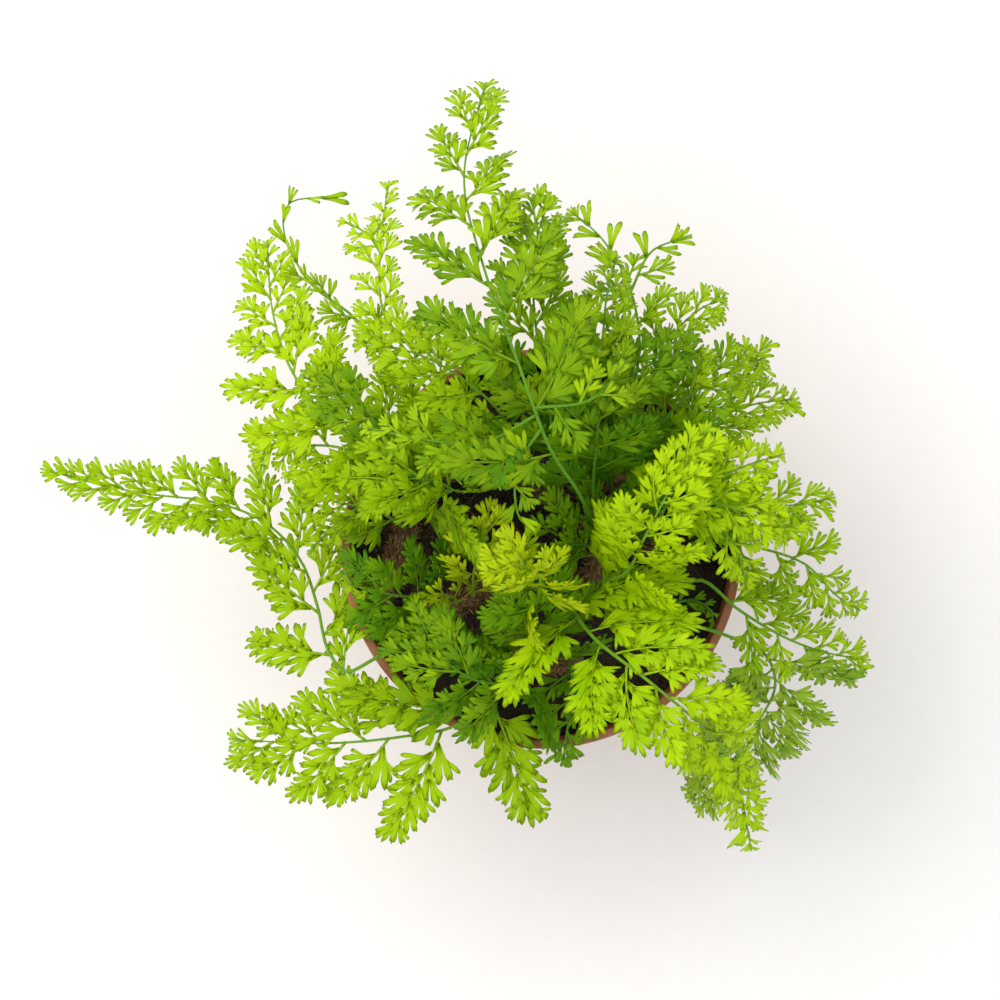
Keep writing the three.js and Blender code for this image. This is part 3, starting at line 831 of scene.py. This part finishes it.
def scales(heap, roots, ways, outward, lengths, rng):
    """Papery scales. Each is a small pillow: pointed, widest a third of the way along, and lifted at its
    tip."""
    count = len(roots)
    t = np.array([0, 0.35, 0.75, 1])[:, None]
    u = np.array([-1, 0, 1])[None]
    half = np.array([0.5, 1, 0.55, 0.05])[:, None] * 0.22
    x, y = t + 0 * u, u * half
    lift = 0.12 * t ** 2 + 0.06 * (1 - u ** 2)
    top = np.stack([x, y, lift], -1).reshape(-1, 3)
    under = np.stack([x, y, lift - 0.05], -1)[1:-1, 1:-1].reshape(-1, 3)
    shape = np.concatenate([top, under]) * np.reshape(lengths, (-1, 1, 1))
    side = unit(np.cross(outward, ways))
    normal = np.cross(ways, side)
    points = roots[:, None] + shape[..., :1] * ways[:, None] + shape[..., 1:2] * side[:, None]
    points = points + shape[..., 2:] * normal[:, None]
    faces = repeated(pillow_faces(4, 3), len(top) + len(under), count)
    heap.add(points, [faces], tone=np.repeat(rng.uniform(0.2, 1, count), len(top) + len(under)))


def rhizome_material():
    """Tan papery scales: each has a tone of its own, and brown mottling runs over them."""
    shop = PaintShop("papery_rhizome")
    tone = shop.field("tone")
    mottle = shop.noise(0.002, 4, 0.6)
    colour = shop.blend(tone, paint("5a3c22"), paint("b08a58"))
    colour = shop.blend(shop.steps(mottle, 0.45, 0.75) * 0.6, colour, paint("7c5a36"))
    return shop.finish(base_color=colour, roughness=0.7, normal=shop.bump(mottle, 0.3 * MM))


rhizome_bark = rhizome_material()
for number, (name, path) in enumerate(rhizome_paths.items()):
    made = rhizome_piece(name, path, rhizome_bark, 40 + number)
    print(made.name, len(made.data.polygons), "faces")

# %% [markdown]
# ## The fronds
# A frond is a stalk whose upper part, the midrib, carries side leaflets to left and right by turns. Each
# leaflet repeats the plan at a smaller size: a fine rib with fans on both sides and one fan at its tip. A
# fan is a wedge of leaf cut into one to three fingers with blunt ends. A frond could be scattered from
# copies of one leaf, but then every leaflet would look alike, so each fan is drawn from its own random
# numbers and only its grid of faces is shared.

# %% One fan
FINGER_PLACES = np.array([0.0, 0.1, 0.27, 0.5, 0.73, 0.9])
FAN_ROWS = np.array([0, 0.4, 0.75, 1.0])
SIDE_REACH = 0.6
NOTCHED_SHARE = 0.35
LEAF_THICKNESS = 0.22 * MM


def fan_outline(fingers, cleft, rng):
    """How far the fan reaches along each of its rays, as a share of its length. Within a finger the reach
    rises steeply from the cleft to the shoulder, and some fingers dip between the two teeth at the end."""
    teeth = rng.uniform(0.89, 0.97, (fingers, 2))
    notch = np.where(rng.random(fingers) < NOTCHED_SHARE, 0.9, 1.0)
    shoulder = rng.uniform(0.72, 0.82, (fingers, 2))
    root = np.full(fingers, cleft)
    reach = np.stack([root, shoulder[:, 0], teeth[:, 0], notch, teeth[:, 1], shoulder[:, 1]], 1)
    reach[:, 0] += rng.uniform(-0.06, 0.06, fingers)
    middle = (np.arange(fingers) + 0.5) / fingers * 2 - 1
    reach[:, 1:] *= (1 - 0.2 * np.abs(middle) ** 2)[:, None] * rng.uniform(0.94, 1.04, (fingers, 1))
    places = (np.arange(fingers)[:, None] + FINGER_PLACES).ravel()
    reach, places = np.append(reach.ravel(), SIDE_REACH), np.append(places, fingers)
    reach[0] = SIDE_REACH
    return reach, places


def fan(length, fingers, spread, cleft, rng):
    """A flat fan from its root along +x, as a grid of rows outwards and columns across. Its rays start a
    little apart, spread to both sides, and bend outwards more the further they go. Gives x and y, the
    place across the fingers that the veins follow, and the distance from the root."""
    reach, places = fan_outline(fingers, cleft, rng)
    u = places / fingers * 2 - 1
    r = FAN_ROWS[:, None] * reach[None]
    angle = spread / 2 * u * (0.4 + 0.6 * r)
    x = length * r * np.cos(angle)
    y = length * (r * np.sin(angle) + 0.05 * u)
    return x, y, places + 0 * r, r * length


# %% [markdown]
# A leaflet is first laid out flat: its rib runs along x, and each fan is turned to its own angle. The flat
# leaflet is then laid over a curved strip in space, which sweeps towards the frond's tip and droops.

# %% One leaflet, laid out flat
LONG_FAN = 7.5 * MM
TWO_FINGERS = 5.4 * MM
THREE_FINGERS = 5 * MM
FIRST_FAN = 0.1
SMALL_FAN = 0.6
TIP_FAN_LEAST = 3.2 * MM
SIDE_FAN_LEAST = 3 * MM
FAN_GAP = 1.0 * MM


def leaflet_plan(length, habit, rng):
    """The fans of a leaflet: for each its root in x and y, its turn, its length and its fingers. A long
    side fan carries two small ones of its own, low on its sides."""
    if length < habit["plain"] * MM:
        return [(0.0, 0.0, 0.0, length, 2 + int(rng.random() < 0.4))]
    tip = 0.22 * length + TIP_FAN_LEAST
    plan = [(length - tip, 0.0, 0.0, tip, 2 + int(tip > THREE_FINGERS))]
    place, side = FIRST_FAN * length, rng.choice([-1, 1])
    while place < length - 0.65 * tip:
        size = (0.34 * length * (1 - place / length) ** 0.6 + SIDE_FAN_LEAST) * rng.uniform(0.9, 1.1)
        turn = side * math.radians(rng.uniform(29, 41) * (1 - 0.2 * place / length))
        plan.append((place, 0.0, turn, size, 1 + int(size > TWO_FINGERS)))
        for small in [-1, 1] if size > LONG_FAN else []:
            up = rng.uniform(0.12, 0.34) * size
            open_angle = small * math.radians(rng.uniform(26, 36))
            root = (place + up * math.cos(turn), up * math.sin(turn))
            plan.append((*root, turn + open_angle, SMALL_FAN * size, 2))
        place += 0.17 * size + FAN_GAP
        side = -side
    return plan


def flat_leaflet(length, habit, rng):
    """Each fan of a leaflet in turn: its flat points with a small height, its faces, the number that the
    veins follow at each point, and its shade. The height is a bend along the fan, a tilt across it and a
    channel along each finger. The margin is a single line halfway between the two sheets."""
    for root_x, root_y, turn, size, fingers in leaflet_plan(length, habit, rng):
        spread = math.radians(13 + 10 * fingers) * rng.uniform(0.9, 1.12)
        x, y, across, along = fan(size, fingers, spread, habit["cleft"] + rng.uniform(-0.08, 0.08), rng)
        sag = rng.uniform(-0.2, 0.1) * x ** 2 / size
        tilt = rng.normal(0, 0.16) * y
        channel = 0.12 * MM * np.cos(2 * np.pi * across) * along / size
        z = sag + tilt + channel
        half = LEAF_THICKNESS * (1 - 0.55 * FAN_ROWS[:, None]) / 2 + 0 * x
        half[[0, -1]] = 0
        half[:, [0, -1]] = 0
        c, s = math.cos(turn), math.sin(turn)
        flat_x, flat_y = root_x + x * c - y * s, root_y + x * s + y * c
        top = np.stack([flat_x, flat_y, z + half], -1).reshape(-1, 3)
        under = np.stack([flat_x, flat_y, z - half], -1)[1:-1, 1:-1].reshape(-1, 3)
        veins = np.concatenate([across.ravel(), across[1:-1, 1:-1].ravel()])
        yield np.concatenate([top, under]), pillow_faces(*x.shape), veins, rng.normal(0, 0.1)


# %% One leaflet, placed in space
STRIP_LEAD = 0.05
STRIP_END = 1.3
STRIP_POINTS = 19
RIB_POINTS = 9


def leaflet_strip(root, forward, across, above, side, length, lean, sweep, tilt, droop, twist):
    """The curved strip that a leaflet lies on. It leaves the midrib at its lean, turns by sweep towards the
    frond's tip, rises by tilt and then falls by droop, and rolls by twist, all as angles in radians."""
    t = np.linspace(-STRIP_LEAD, STRIP_END, STRIP_POINTS)
    turn = lean - sweep * t
    rise = tilt - droop * t
    level = forward * np.cos(turn)[:, None] + side * across * np.sin(turn)[:, None]
    sideways = (-forward * np.sin(turn)[:, None] + side * across * np.cos(turn)[:, None]) * side
    heading = level * np.cos(rise)[:, None] + above * np.sin(rise)[:, None]
    normal = np.cross(heading, sideways)
    roll = (twist * np.clip(t, 0, 1))[:, None]
    width = sideways * np.cos(roll) + normal * np.sin(roll)
    steps = heading * (t[1] - t[0]) * length
    points = root + np.cumsum(steps, axis=0) - steps[0] * (1 + STRIP_LEAD / (t[1] - t[0]))
    return Path(points, heading, width, np.cross(heading, width), t * length)


def lay_on(strip, points):
    """Carries flat points onto a strip: x runs along it, y across it and z above it."""
    place, _, across, above = strip.at(points[:, 0])
    return place + points[:, 1:2] * across + points[:, 2:] * above


def grow_leaflet(heap, strip, length, habit, rib_radius, tone, rng):
    """The fans and the fine rib of one leaflet."""
    for points, faces, veins, shade in flat_leaflet(length, habit, rng):
        heap.add(lay_on(strip, points), [faces], across=veins, tone=tone + shade)
    if length > habit["plain"] * MM:
        reach = np.linspace(-0.3 * MM, 0.82 * length, RIB_POINTS)
        rib = Path(*strip.at(reach), reach)
        width = 1.5 * rib_radius * np.linspace(1, 0.45, RIB_POINTS)
        stalk_tube(heap, rib, width, 4, 0.35, stalk=0.3, tone=tone)


# %% [markdown]
# ## How each frond grows
# The list holds what differs from frond to frond: its tint, the rhizome it stands on and the share
# along that, how far its leaflets reach in millimetres, the share of the line that is bare stalk, and the
# points that the line passes. Limbs are long side branches, each with the share along the line where it
# starts. A few fronds also hang, fold or roll, and those habits are in a list of their own.

# %% The list of fronds
Frond = namedtuple("Frond", "name tint rhizome share half bare line limbs", defaults=[()])
Limb = namedtuple("Limb", "share half line")

# Fronds that lie in the shade of others take the darker tint, which is painted shade.
FRONDS = [
    Frond("bright_east", "spring", "middle", 0.3, 27, 0.34,
          [(345, 25, 24), (8, 29, 45), (28, 41, 56), (37, 58, 50)]),
    Frond("bright_south_east", "spring", "middle", 0.08, 30, 0.24,
          [(300, 29, 22), (309, 48, 40), (312, 68, 32), (311, 86, 14), (305, 111, -8)]),
    Frond("young_middle", "young", "south_west", 0.08, 14, 0.5,
          [(250, 12, 20), (262, 8, 40), (200, 9, 52), (190, 16, 54)]),
    Frond("young_north", "young", "south_west", 0.4, 11, 0.35,
          [(197, 21, 14), (170, 17, 26), (142, 20, 31)]),
    Frond("young_south_west", "young", "south_west", 0.6, 10, 0.35, [(208, 30, 8), (202, 36, 16)]),
    Frond("tall_north", "green", "middle", 0.72, 34, 0.42,
          [(35, 17, 20), (62, 20, 44), (88, 30, 64), (98, 53, 68), (102, 82, 54), (102, 110, 34),
           (97, 139, 12)],
          [Limb(0.42, 15, [(120, 35, 70), (134, 43, 70), (145, 61, 54)]),
           Limb(0.43, 14, [(74, 44, 66), (67, 57, 56)]),
           Limb(0.4, 10, [(108, 25, 62), (125, 13, 58), (110, 6, 48)])]),
    Frond("north", "green", "north", 0.12, 24, 0.42,
          [(82, 24, 24), (88, 42, 44), (92, 62, 50), (92, 84, 44), (89, 103, 30)]),
    Frond("north_right", "green", "middle", 0.84, 20, 0.42,
          [(52, 24, 22), (66, 38, 42), (73, 56, 48), (76, 74, 40), (76, 88, 27)]),
    Frond("north_west_broad", "green", "north", 0.4, 24, 0.4,
          [(102, 30, 26), (110, 46, 46), (121, 64, 50), (131, 80, 42)]),
    Frond("north_west", "spring", "north", 0.68, 13, 0.5,
          [(119, 45, 26), (124, 64, 34), (124, 82, 34), (119, 98, 27), (113, 117, 12)],
          [Limb(0.8, 8, [(119, 106, 20), (121, 113, 14)])]),
    Frond("curled", "green", "north", 0.92, 15, 0.55,
          [(122, 48, 14), (128, 70, 20), (129, 88, 18), (131, 105, 10), (129, 123, 0), (126, 129, -5),
           (120, 123, -10)]),
    Frond("west_broad", "spring", "west", 0.07, 26, 0.42,
          [(147, 52, 16), (149, 70, 20), (145, 89, 16), (139, 106, 6), (132, 124, -6)]),
    Frond("west_arch", "green", "west", 0.14, 20, 0.4,
          [(141, 44, 24), (141, 60, 34), (143, 74, 30), (144, 87, 20)]),
    Frond("west_upper", "spring", "west", 0.24, 20, 0.4,
          [(152, 50, 12), (153, 66, 15), (157, 79, 9), (161, 91, 2)]),
    Frond("rim_west", "green", "west", 0.48, 14, 0.4,
          [(167, 50, 4), (167, 61, 5), (167, 73, 0)],
          [Limb(0.55, 7, [(175, 64, 2), (180, 69, -3)])]),
    Frond("inner_west", "green", "west", 0.36, 22, 0.34,
          [(154, 36, 14), (146, 32, 30), (150, 42, 38), (162, 54, 32)]),
    Frond("slender_north_east", "green", "east", 0.86, 15, 0.52,
          [(58, 46, 20), (65, 66, 32), (72, 81, 27), (79, 93, 17), (85, 101, 6)],
          [Limb(0.66, 11, [(70, 93, 22), (65, 102, 14)])]),
    Frond("north_east", "green", "east", 0.76, 17, 0.45,
          [(52, 50, 16), (59, 70, 22), (57, 84, 18), (54, 92, 10)]),
    Frond("dark_north_east", "deep", "east", 0.94, 20, 0.42,
          [(70, 34, 26), (68, 48, 40), (60, 62, 42), (52, 74, 32)]),
    Frond("east_shoulder", "green", "east", 0.66, 21, 0.42,
          [(46, 44, 24), (47, 60, 32), (44, 74, 28), (41, 86, 18)]),
    Frond("east_upper", "green", "east", 0.57, 18, 0.45,
          [(34, 48, 16), (37, 62, 20), (35, 74, 16), (31, 87, 6)]),
    Frond("east_fan", "spring", "east", 0.48, 16, 0.42,
          [(21, 40, 28), (17, 49, 42), (10, 61, 42), (3, 75, 30)],
          [Limb(0.52, 11, [(2, 55, 36), (349, 61, 22)]),
           Limb(0.52, 12, [(23, 60, 44), (22, 74, 34)])]),
    Frond("east_flat", "green", "east", 0.39, 17, 0.5,
          [(13, 46, 12), (12, 62, 16), (10, 76, 14), (10, 87, 8)]),
    Frond("east_low", "green", "east", 0.3, 20, 0.48,
          [(4, 48, 5), (1, 62, 8), (357, 78, 5), (351, 90, -4), (349, 99, -14)]),
    Frond("rim_east", "green", "east", 0.2, 19, 0.55,
          [(349, 48, 4), (343, 61, 7), (340, 78, 2), (340, 92, -6), (341, 104, -14)]),
    Frond("hanging_east", "grey", "east", 0.1, 26, 0.42,
          [(333, 50, 4), (335, 61, 7), (335, 73, 2), (330, 82, -10), (322, 86, -26), (312, 90, -40),
           (301, 94, -54)]),
    Frond("long_west", "green", "south_west", 0.95, 24, 0.36,
          [(213, 52, 5), (213, 62, 7), (212, 69, 4), (205, 71, -2), (194, 70, -8), (183, 73, -10),
           (175, 83, -8), (172, 98, -4), (172, 122, 2), (171, 148, 6)]),
    Frond("inner_left", "green", "south_west", 0.78, 15, 0.4,
          [(203, 38, 10), (196, 47, 20), (190, 58, 16)]),
    Frond("south_west", "green", "south", 0.18, 33, 0.24,
          [(250, 46, 4), (244, 58, 9), (233, 70, 6), (222, 87, 1), (212, 109, -6)]),
    Frond("inner_south_west", "green", "south", 0.42, 19, 0.35,
          [(258, 40, 14), (240, 43, 24), (222, 43, 25), (208, 44, 16)]),
    Frond("inner_south", "deep", "south", 0.62, 14, 0.4, [(268, 24, 12), (258, 17, 22), (232, 22, 24)]),
    Frond("south_small", "deep", "south", 0.84, 10, 0.5, [(282, 44, 4), (278, 54, 8), (276, 63, 4)]),
    Frond("inner_dark", "deep", "middle", 0.54, 14, 0.4, [(2, 14, 8), (20, 8, 20), (100, 8, 24)]),
    Frond("inner_north_east", "deep", "middle", 0.93, 15, 0.4, [(38, 24, 10), (38, 38, 20), (40, 50, 16)]),
    Frond("rim_shoot", "deep", "east", 0.15, 5, 0.5, [(341, 47, -2), (340, 54, 3), (336, 56, -1)]),
]

TINTS = {
    "young": ("9ac400", "d8ec10"),
    "spring": ("8cc200", "ccec00"),
    "green": ("4e8c00", "bce000"),
    "deep": ("427800", "82b400"),
    # This darker copy of the green is painted shade, for fronds that lie in the shade of others.
    "grey": ("6ca618", "b0d430"),
}

# In degrees, roll turns the blade about its midrib, fold lifts both rows of leaflets off the blade's plane,
# and droop is how far a leaflet bends down from root to tip. Open spreads the leaflets apart. Tip is the
# length of the last ones as a share of the first. Bare shortens the bare stalk, and full lengthens every
# leaflet. Cleft is how far up a fan its cuts begin. Tone makes a frond lighter or darker. A high taper
# narrows its outer half. Leaflets shorter than plain, in millimetres, are one fan.
OUTER_HABIT = {"tone": -0.35, "cleft": 0.5}
HIDDEN_HABIT = {"full": 2.1, "bare": 0.4, "open": 0.7, "tip": 0.5}
EAST_HABIT = {"open": 1.2, "cleft": 0.45}
HABITS = {
    "north": OUTER_HABIT,
    "north_right": OUTER_HABIT,
    "north_west_broad": {"tone": -0.3},
    "west_arch": {"tone": -0.15},
    "east_shoulder": {"tone": -0.2, "cleft": 0.48},
    "curled": {"fold": 55, "droop": 10, "open": 2.7, "cleft": 0.4, "full": 1.05, "plain": 10},
    "hanging_east": {"droop": 12, "open": 0.75, "full": 1.3, "bare": 0.8, "roll": 20, "tone": 0.5},
    "long_west": {"tone": 0.35, "droop": 24, "open": 1.1, "full": 1.35, "tip": 0.2, "cleft": 0.5},
    "south_west": {"open": 1.1, "full": 1.35, "tip": 0.22, "bare": 0.9, "cleft": 0.48, "tone": 0.15},
    "tall_north": {
        "open": 1.8, "full": 1.25, "tip": 0.27, "bare": 0.85, "plain": 9, "tone": -0.1, "cleft": 0.42,
    },
    "north_west": {"tone": 0.3, "droop": 15, "open": 1.3, "cleft": 0.45},
    "slender_north_east": {
        "droop": 22, "open": 1.9, "tip": 0.5, "plain": 12, "bare": 0.95, "full": 1.05, "cleft": 0.4,
    },
    "west_broad": {"tone": 0.3, "open": 1.15},
    "north_east": {"open": 1.2, "cleft": 0.42},
    "rim_east": {"open": 1.3, "cleft": 0.4, "full": 1.1},
    "east_low": {"open": 1.3, "cleft": 0.42, "full": 1.1},
    "east_flat": EAST_HABIT,
    "east_upper": EAST_HABIT,
    "inner_west": {"tone": -0.2, "full": 1.75, "bare": 0.4, "open": 0.65, "tip": 0.45},
    "inner_left": {"tone": -0.35, "full": 1.8, "bare": 0.5, "open": 0.7, "tip": 0.5},
    "inner_south": HIDDEN_HABIT,
    "inner_dark": HIDDEN_HABIT,
    "inner_south_west": {"tone": -0.45, "full": 1.6, "bare": 0.5, "open": 0.75, "tip": 0.45},
    "inner_north_east": {"tone": -0.1, "full": 1.8, "bare": 0.5, "open": 0.75, "tip": 0.45},
    "young_middle": {"full": 1.7, "bare": 0.5, "open": 0.8, "tip": 0.5},
    "young_north": {"tone": 0.3, "full": 1.6, "bare": 0.5, "open": 0.85, "tip": 0.5},
    "bright_east": {"full": 1.15, "bare": 0.4, "open": 0.75, "tone": 0.3, "cleft": 0.66},
    "bright_south_east": {
        "full": 1.4, "bare": 0.4, "open": 0.95, "tip": 0.22, "tone": 0.15, "taper": 1.4, "plain": 11,
        "cleft": 0.6,
    },
    "south_small": {"full": 1.8, "bare": 0.5},
}
USUAL_HABIT = {
    "roll": 0, "fold": 4, "droop": 20, "open": 1.0, "tip": 0.27, "bare": 0.68, "full": 1.29, "cleft": 0.56,
    "tone": 0.15, "taper": 0.85, "plain": 6.5,
}
print(len(FRONDS), "fronds,", sum(len(frond.limbs) for frond in FRONDS), "limbs")

# %% [markdown]
# ## The leaf
# Fern leaf is thin and lets light through, so the surface shader is mixed with a translucent one. Its green
# drifts in soft patches, runs paler along the fine parallel veins, and differs from fan to fan by a number
# that the mesh carries. Ribs and stalks take a duller green, and the foot of a stalk is brown.

# %% The leaf's material
THROUGH = 0.36
VEINS_PER_FINGER = 4
STALK_GREEN = paint("58963a")
STALK_BROWN = paint("6b4d28")


def leaf_material(name, dark, light):
    """Thin leaf between a dark and a light green, mixed with light that shines through it."""
    shop = PaintShop(name)
    across, tone, stalk = shop.field("across"), shop.field("tone"), shop.field("stalk")
    vein = shop.stripes(across, VEINS_PER_FINGER) ** 5
    patches = shop.noise(0.006, 3)
    # The tone that the mesh carries includes painted light, which rises towards each frond's tip.
    share = shop.steps(tone + 0.55 * (patches - 0.5) + 0.5, 0.0, 1.0)
    colour = shop.blend(share, paint(dark), paint(light))
    colour = shop.blend(vein * 0.22, colour, paint(light))
    mottle = shop.steps(shop.noise(0.0015, 4, 0.65), 0.55, 0.8)
    colour = shop.blend(mottle * 0.18, colour, paint(dark))
    colour = shop.blend(shop.steps(stalk, 0.1, 0.6) * 0.7, colour, STALK_GREEN)
    colour = shop.blend(shop.steps(stalk, 0.7, 1.0), colour, STALK_BROWN)
    height = vein * 0.5 + 0.5 * patches
    normal = shop.bump(height, 0.12 * MM, 0.6)
    made = shop.finish(
        base_color=colour, roughness=0.4 + 0.2 * patches, normal=normal, specular_ior_level=0.18
    )
    through = shop.node("ShaderNodeBsdfTranslucent", {}, {"Color": paint(light)})
    shaders = {0: THROUGH, 1: shop.shader.outputs[0], 2: through.outputs[0]}
    mixed = shop.node("ShaderNodeMixShader", {}, shaders)
    shop.tree.links.new(mixed.outputs[0], shop.tree.nodes["Material Output"].inputs["Surface"])
    return made


leaf_materials = {tint: leaf_material(f"{tint}_frond_leaf", *colours) for tint, colours in TINTS.items()}
print("leaf materials", list(leaf_materials))

# %% Growing a frond
STALK_RADIUS = 0.62 * MM
LIMB_RADIUS = 0.45 * MM
TIP_RADIUS = 0.22 * MM
THIN_RIB = 0.3 * MM
LEAFLET_GAP = 1.3 * MM
LAST_LEAFLET = 5 * MM
STALK_LEAD = 5 * MM
STALK_STEP = 2.5 * MM
FOOT_DEPTH = 0.8 * MM
STALK_SIDES = 8
LEAN_AT_FOOT = 57
LEAN_LOST_AT_TIP = 28
LIMB_BARE = 0.2
# Leaflets grow paler towards a frond's tip, as young growth is, and part of this rise is painted light:
# light that shines through the outer leaflets and comes back off the pale floor.
TIP_PALENESS_AND_PAINTED_LIGHT = 0.6


def passed(points):
    """The places of a list of points."""
    return [plant_place(bearing, distance, RIM_HEIGHT + up * MM) for bearing, distance, up in points]


def path_through(points):
    """A path through points, in steps of about the stalk's step."""
    reach = sum(np.linalg.norm(np.subtract(b, a)) for a, b in zip(points, points[1:]))
    return level_path(smooth_line(points, max(12, round(reach / STALK_STEP))))


def frond_line(frond):
    """The stalk stands in the back of its rhizome, leaves it straight up, and follows the frond's points."""
    under = rhizome_paths[frond.rhizome]
    foot = under.at(frond.share * under.length)[0]
    back = foot + (0, 0, rhizome_radius(frond.share))
    return path_through([back - (0, 0, FOOT_DEPTH), back + (0, 0, STALK_LEAD)] + passed(frond.line))


def grow_line(heap, path, half, bare, thick, habit, tone, rng, brown_foot):
    """One midrib with its leaflets: they stand left and right by turns, closer together and shorter towards
    the tip, where one last leaflet goes straight on."""
    share = path.walked / path.length
    radius = thick + (TIP_RADIUS - thick) * share
    stalk = 0.55 + 0 * share
    if brown_foot:
        stalk = np.interp(share, [0, 0.12, 0.3, 1], [1.0, 0.8, 0.6, 0.45])
    stalk_tube(heap, path, radius, STALK_SIDES, 0.9, stalk=np.repeat(stalk, STALK_SIDES), tone=tone)
    bare = habit["bare"] * bare
    walked, side = bare * path.length, rng.choice([-1, 1])
    roll, fold, droop = (math.radians(habit[key]) for key in ("roll", "fold", "droop"))
    last = path.length - (habit["tip"] * half + 1 * MM)
    while walked < last:
        way = (walked / path.length - bare) / (1 - bare)
        rest = (1 - way) ** habit["taper"]
        size = half * habit["full"] * (habit["tip"] + (1 - habit["tip"]) * rest)
        size = size * rng.uniform(0.9, 1.06)
        root, forward, across, above = path.at(walked)
        rolled = across * math.cos(roll) + above * math.sin(roll)
        above = above * math.cos(roll) - across * math.sin(roll)
        lean = math.radians(LEAN_AT_FOOT - LEAN_LOST_AT_TIP * way + rng.normal(0, 4))
        sweep = math.radians(rng.uniform(5, 24))
        tilt = fold + math.radians(rng.normal(8, 9))
        fall, twist = droop * rng.uniform(0.6, 1.4), rng.normal(0, 0.25)
        strip = leaflet_strip(root, forward, rolled, above, side, size, lean, sweep, tilt, fall, twist)
        rib = max(THIN_RIB, 0.5 * thick * (1 - 0.5 * way))
        # The rise towards the tip is partly young growth and partly painted light.
        shade = tone + TIP_PALENESS_AND_PAINTED_LIGHT * way + rng.normal(0, 0.08)
        grow_leaflet(heap, strip, size, habit, rib, shade, rng)
        walked += habit["open"] * (0.17 * size + LEAFLET_GAP)
        side = -side
    root, forward, across, above = path.at(last)
    size = habit["tip"] * half + LAST_LEAFLET
    strip = leaflet_strip(root, forward, across, above, 1, size, 0.0, 0.0, 0.0, 0.3, 0.0)
    # The last leaflet takes the whole rise of the tip, painted light included.
    grow_leaflet(heap, strip, size, habit, THIN_RIB, tone + TIP_PALENESS_AND_PAINTED_LIGHT, rng)


def grow_frond(frond, number):
    """One frond as one closed mesh, in place of its CAD node."""
    rng = np.random.default_rng(100 + number)
    habit = {**USUAL_HABIT, **HABITS.get(frond.name, {})}
    heap = Heap()
    line = frond_line(frond)
    tone = habit["tone"] + rng.normal(0, 0.1)
    grow_line(heap, line, frond.half * MM, frond.bare, STALK_RADIUS, habit, tone, rng, True)
    for limb in frond.limbs:
        branch = path_through([line.at(limb.share * line.length)[0]] + passed(limb.line))
        grow_line(heap, branch, limb.half * MM, LIMB_BARE, LIMB_RADIUS, habit, tone, rng, False)
    piece = heap.make(f"blade_{frond.name}", leaf_materials[frond.tint])
    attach(piece, "root")
    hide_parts(f"frond_{frond.name}")
    return piece


# %% The fronds
total = 0
for number, frond in enumerate(FRONDS):
    piece = grow_frond(frond, number)
    faces = len(piece.data.polygons)
    total += faces
    made = np.array(piece.bound_box)
    cad = np.array(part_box(f"frond_{frond.name}"))
    over = np.maximum(cad[0] - made.min(0), made.max(0) - cad[1]) / MM
    print(piece.name, faces, "faces, past its CAD box by", over.round(1), "mm")
print("fronds in all", total, "faces")

# %% [markdown]
# ## Size
# The finer pieces are built to the size of the object, so the box of the finished one is compared with the
# box of the CAD model, and how far it reaches past it is printed.

# %% The two boxes
visual_box = [list(corner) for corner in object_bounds()]
over = np.maximum(np.subtract(cad_box[0], visual_box[0]), np.subtract(visual_box[1], cad_box[1]))
room = 0.03 * np.subtract(cad_box[1], cad_box[0]) + 10 * MM
print("past the CAD box by", (over / MM).round(1), "of", (room / MM).round(1), "mm")
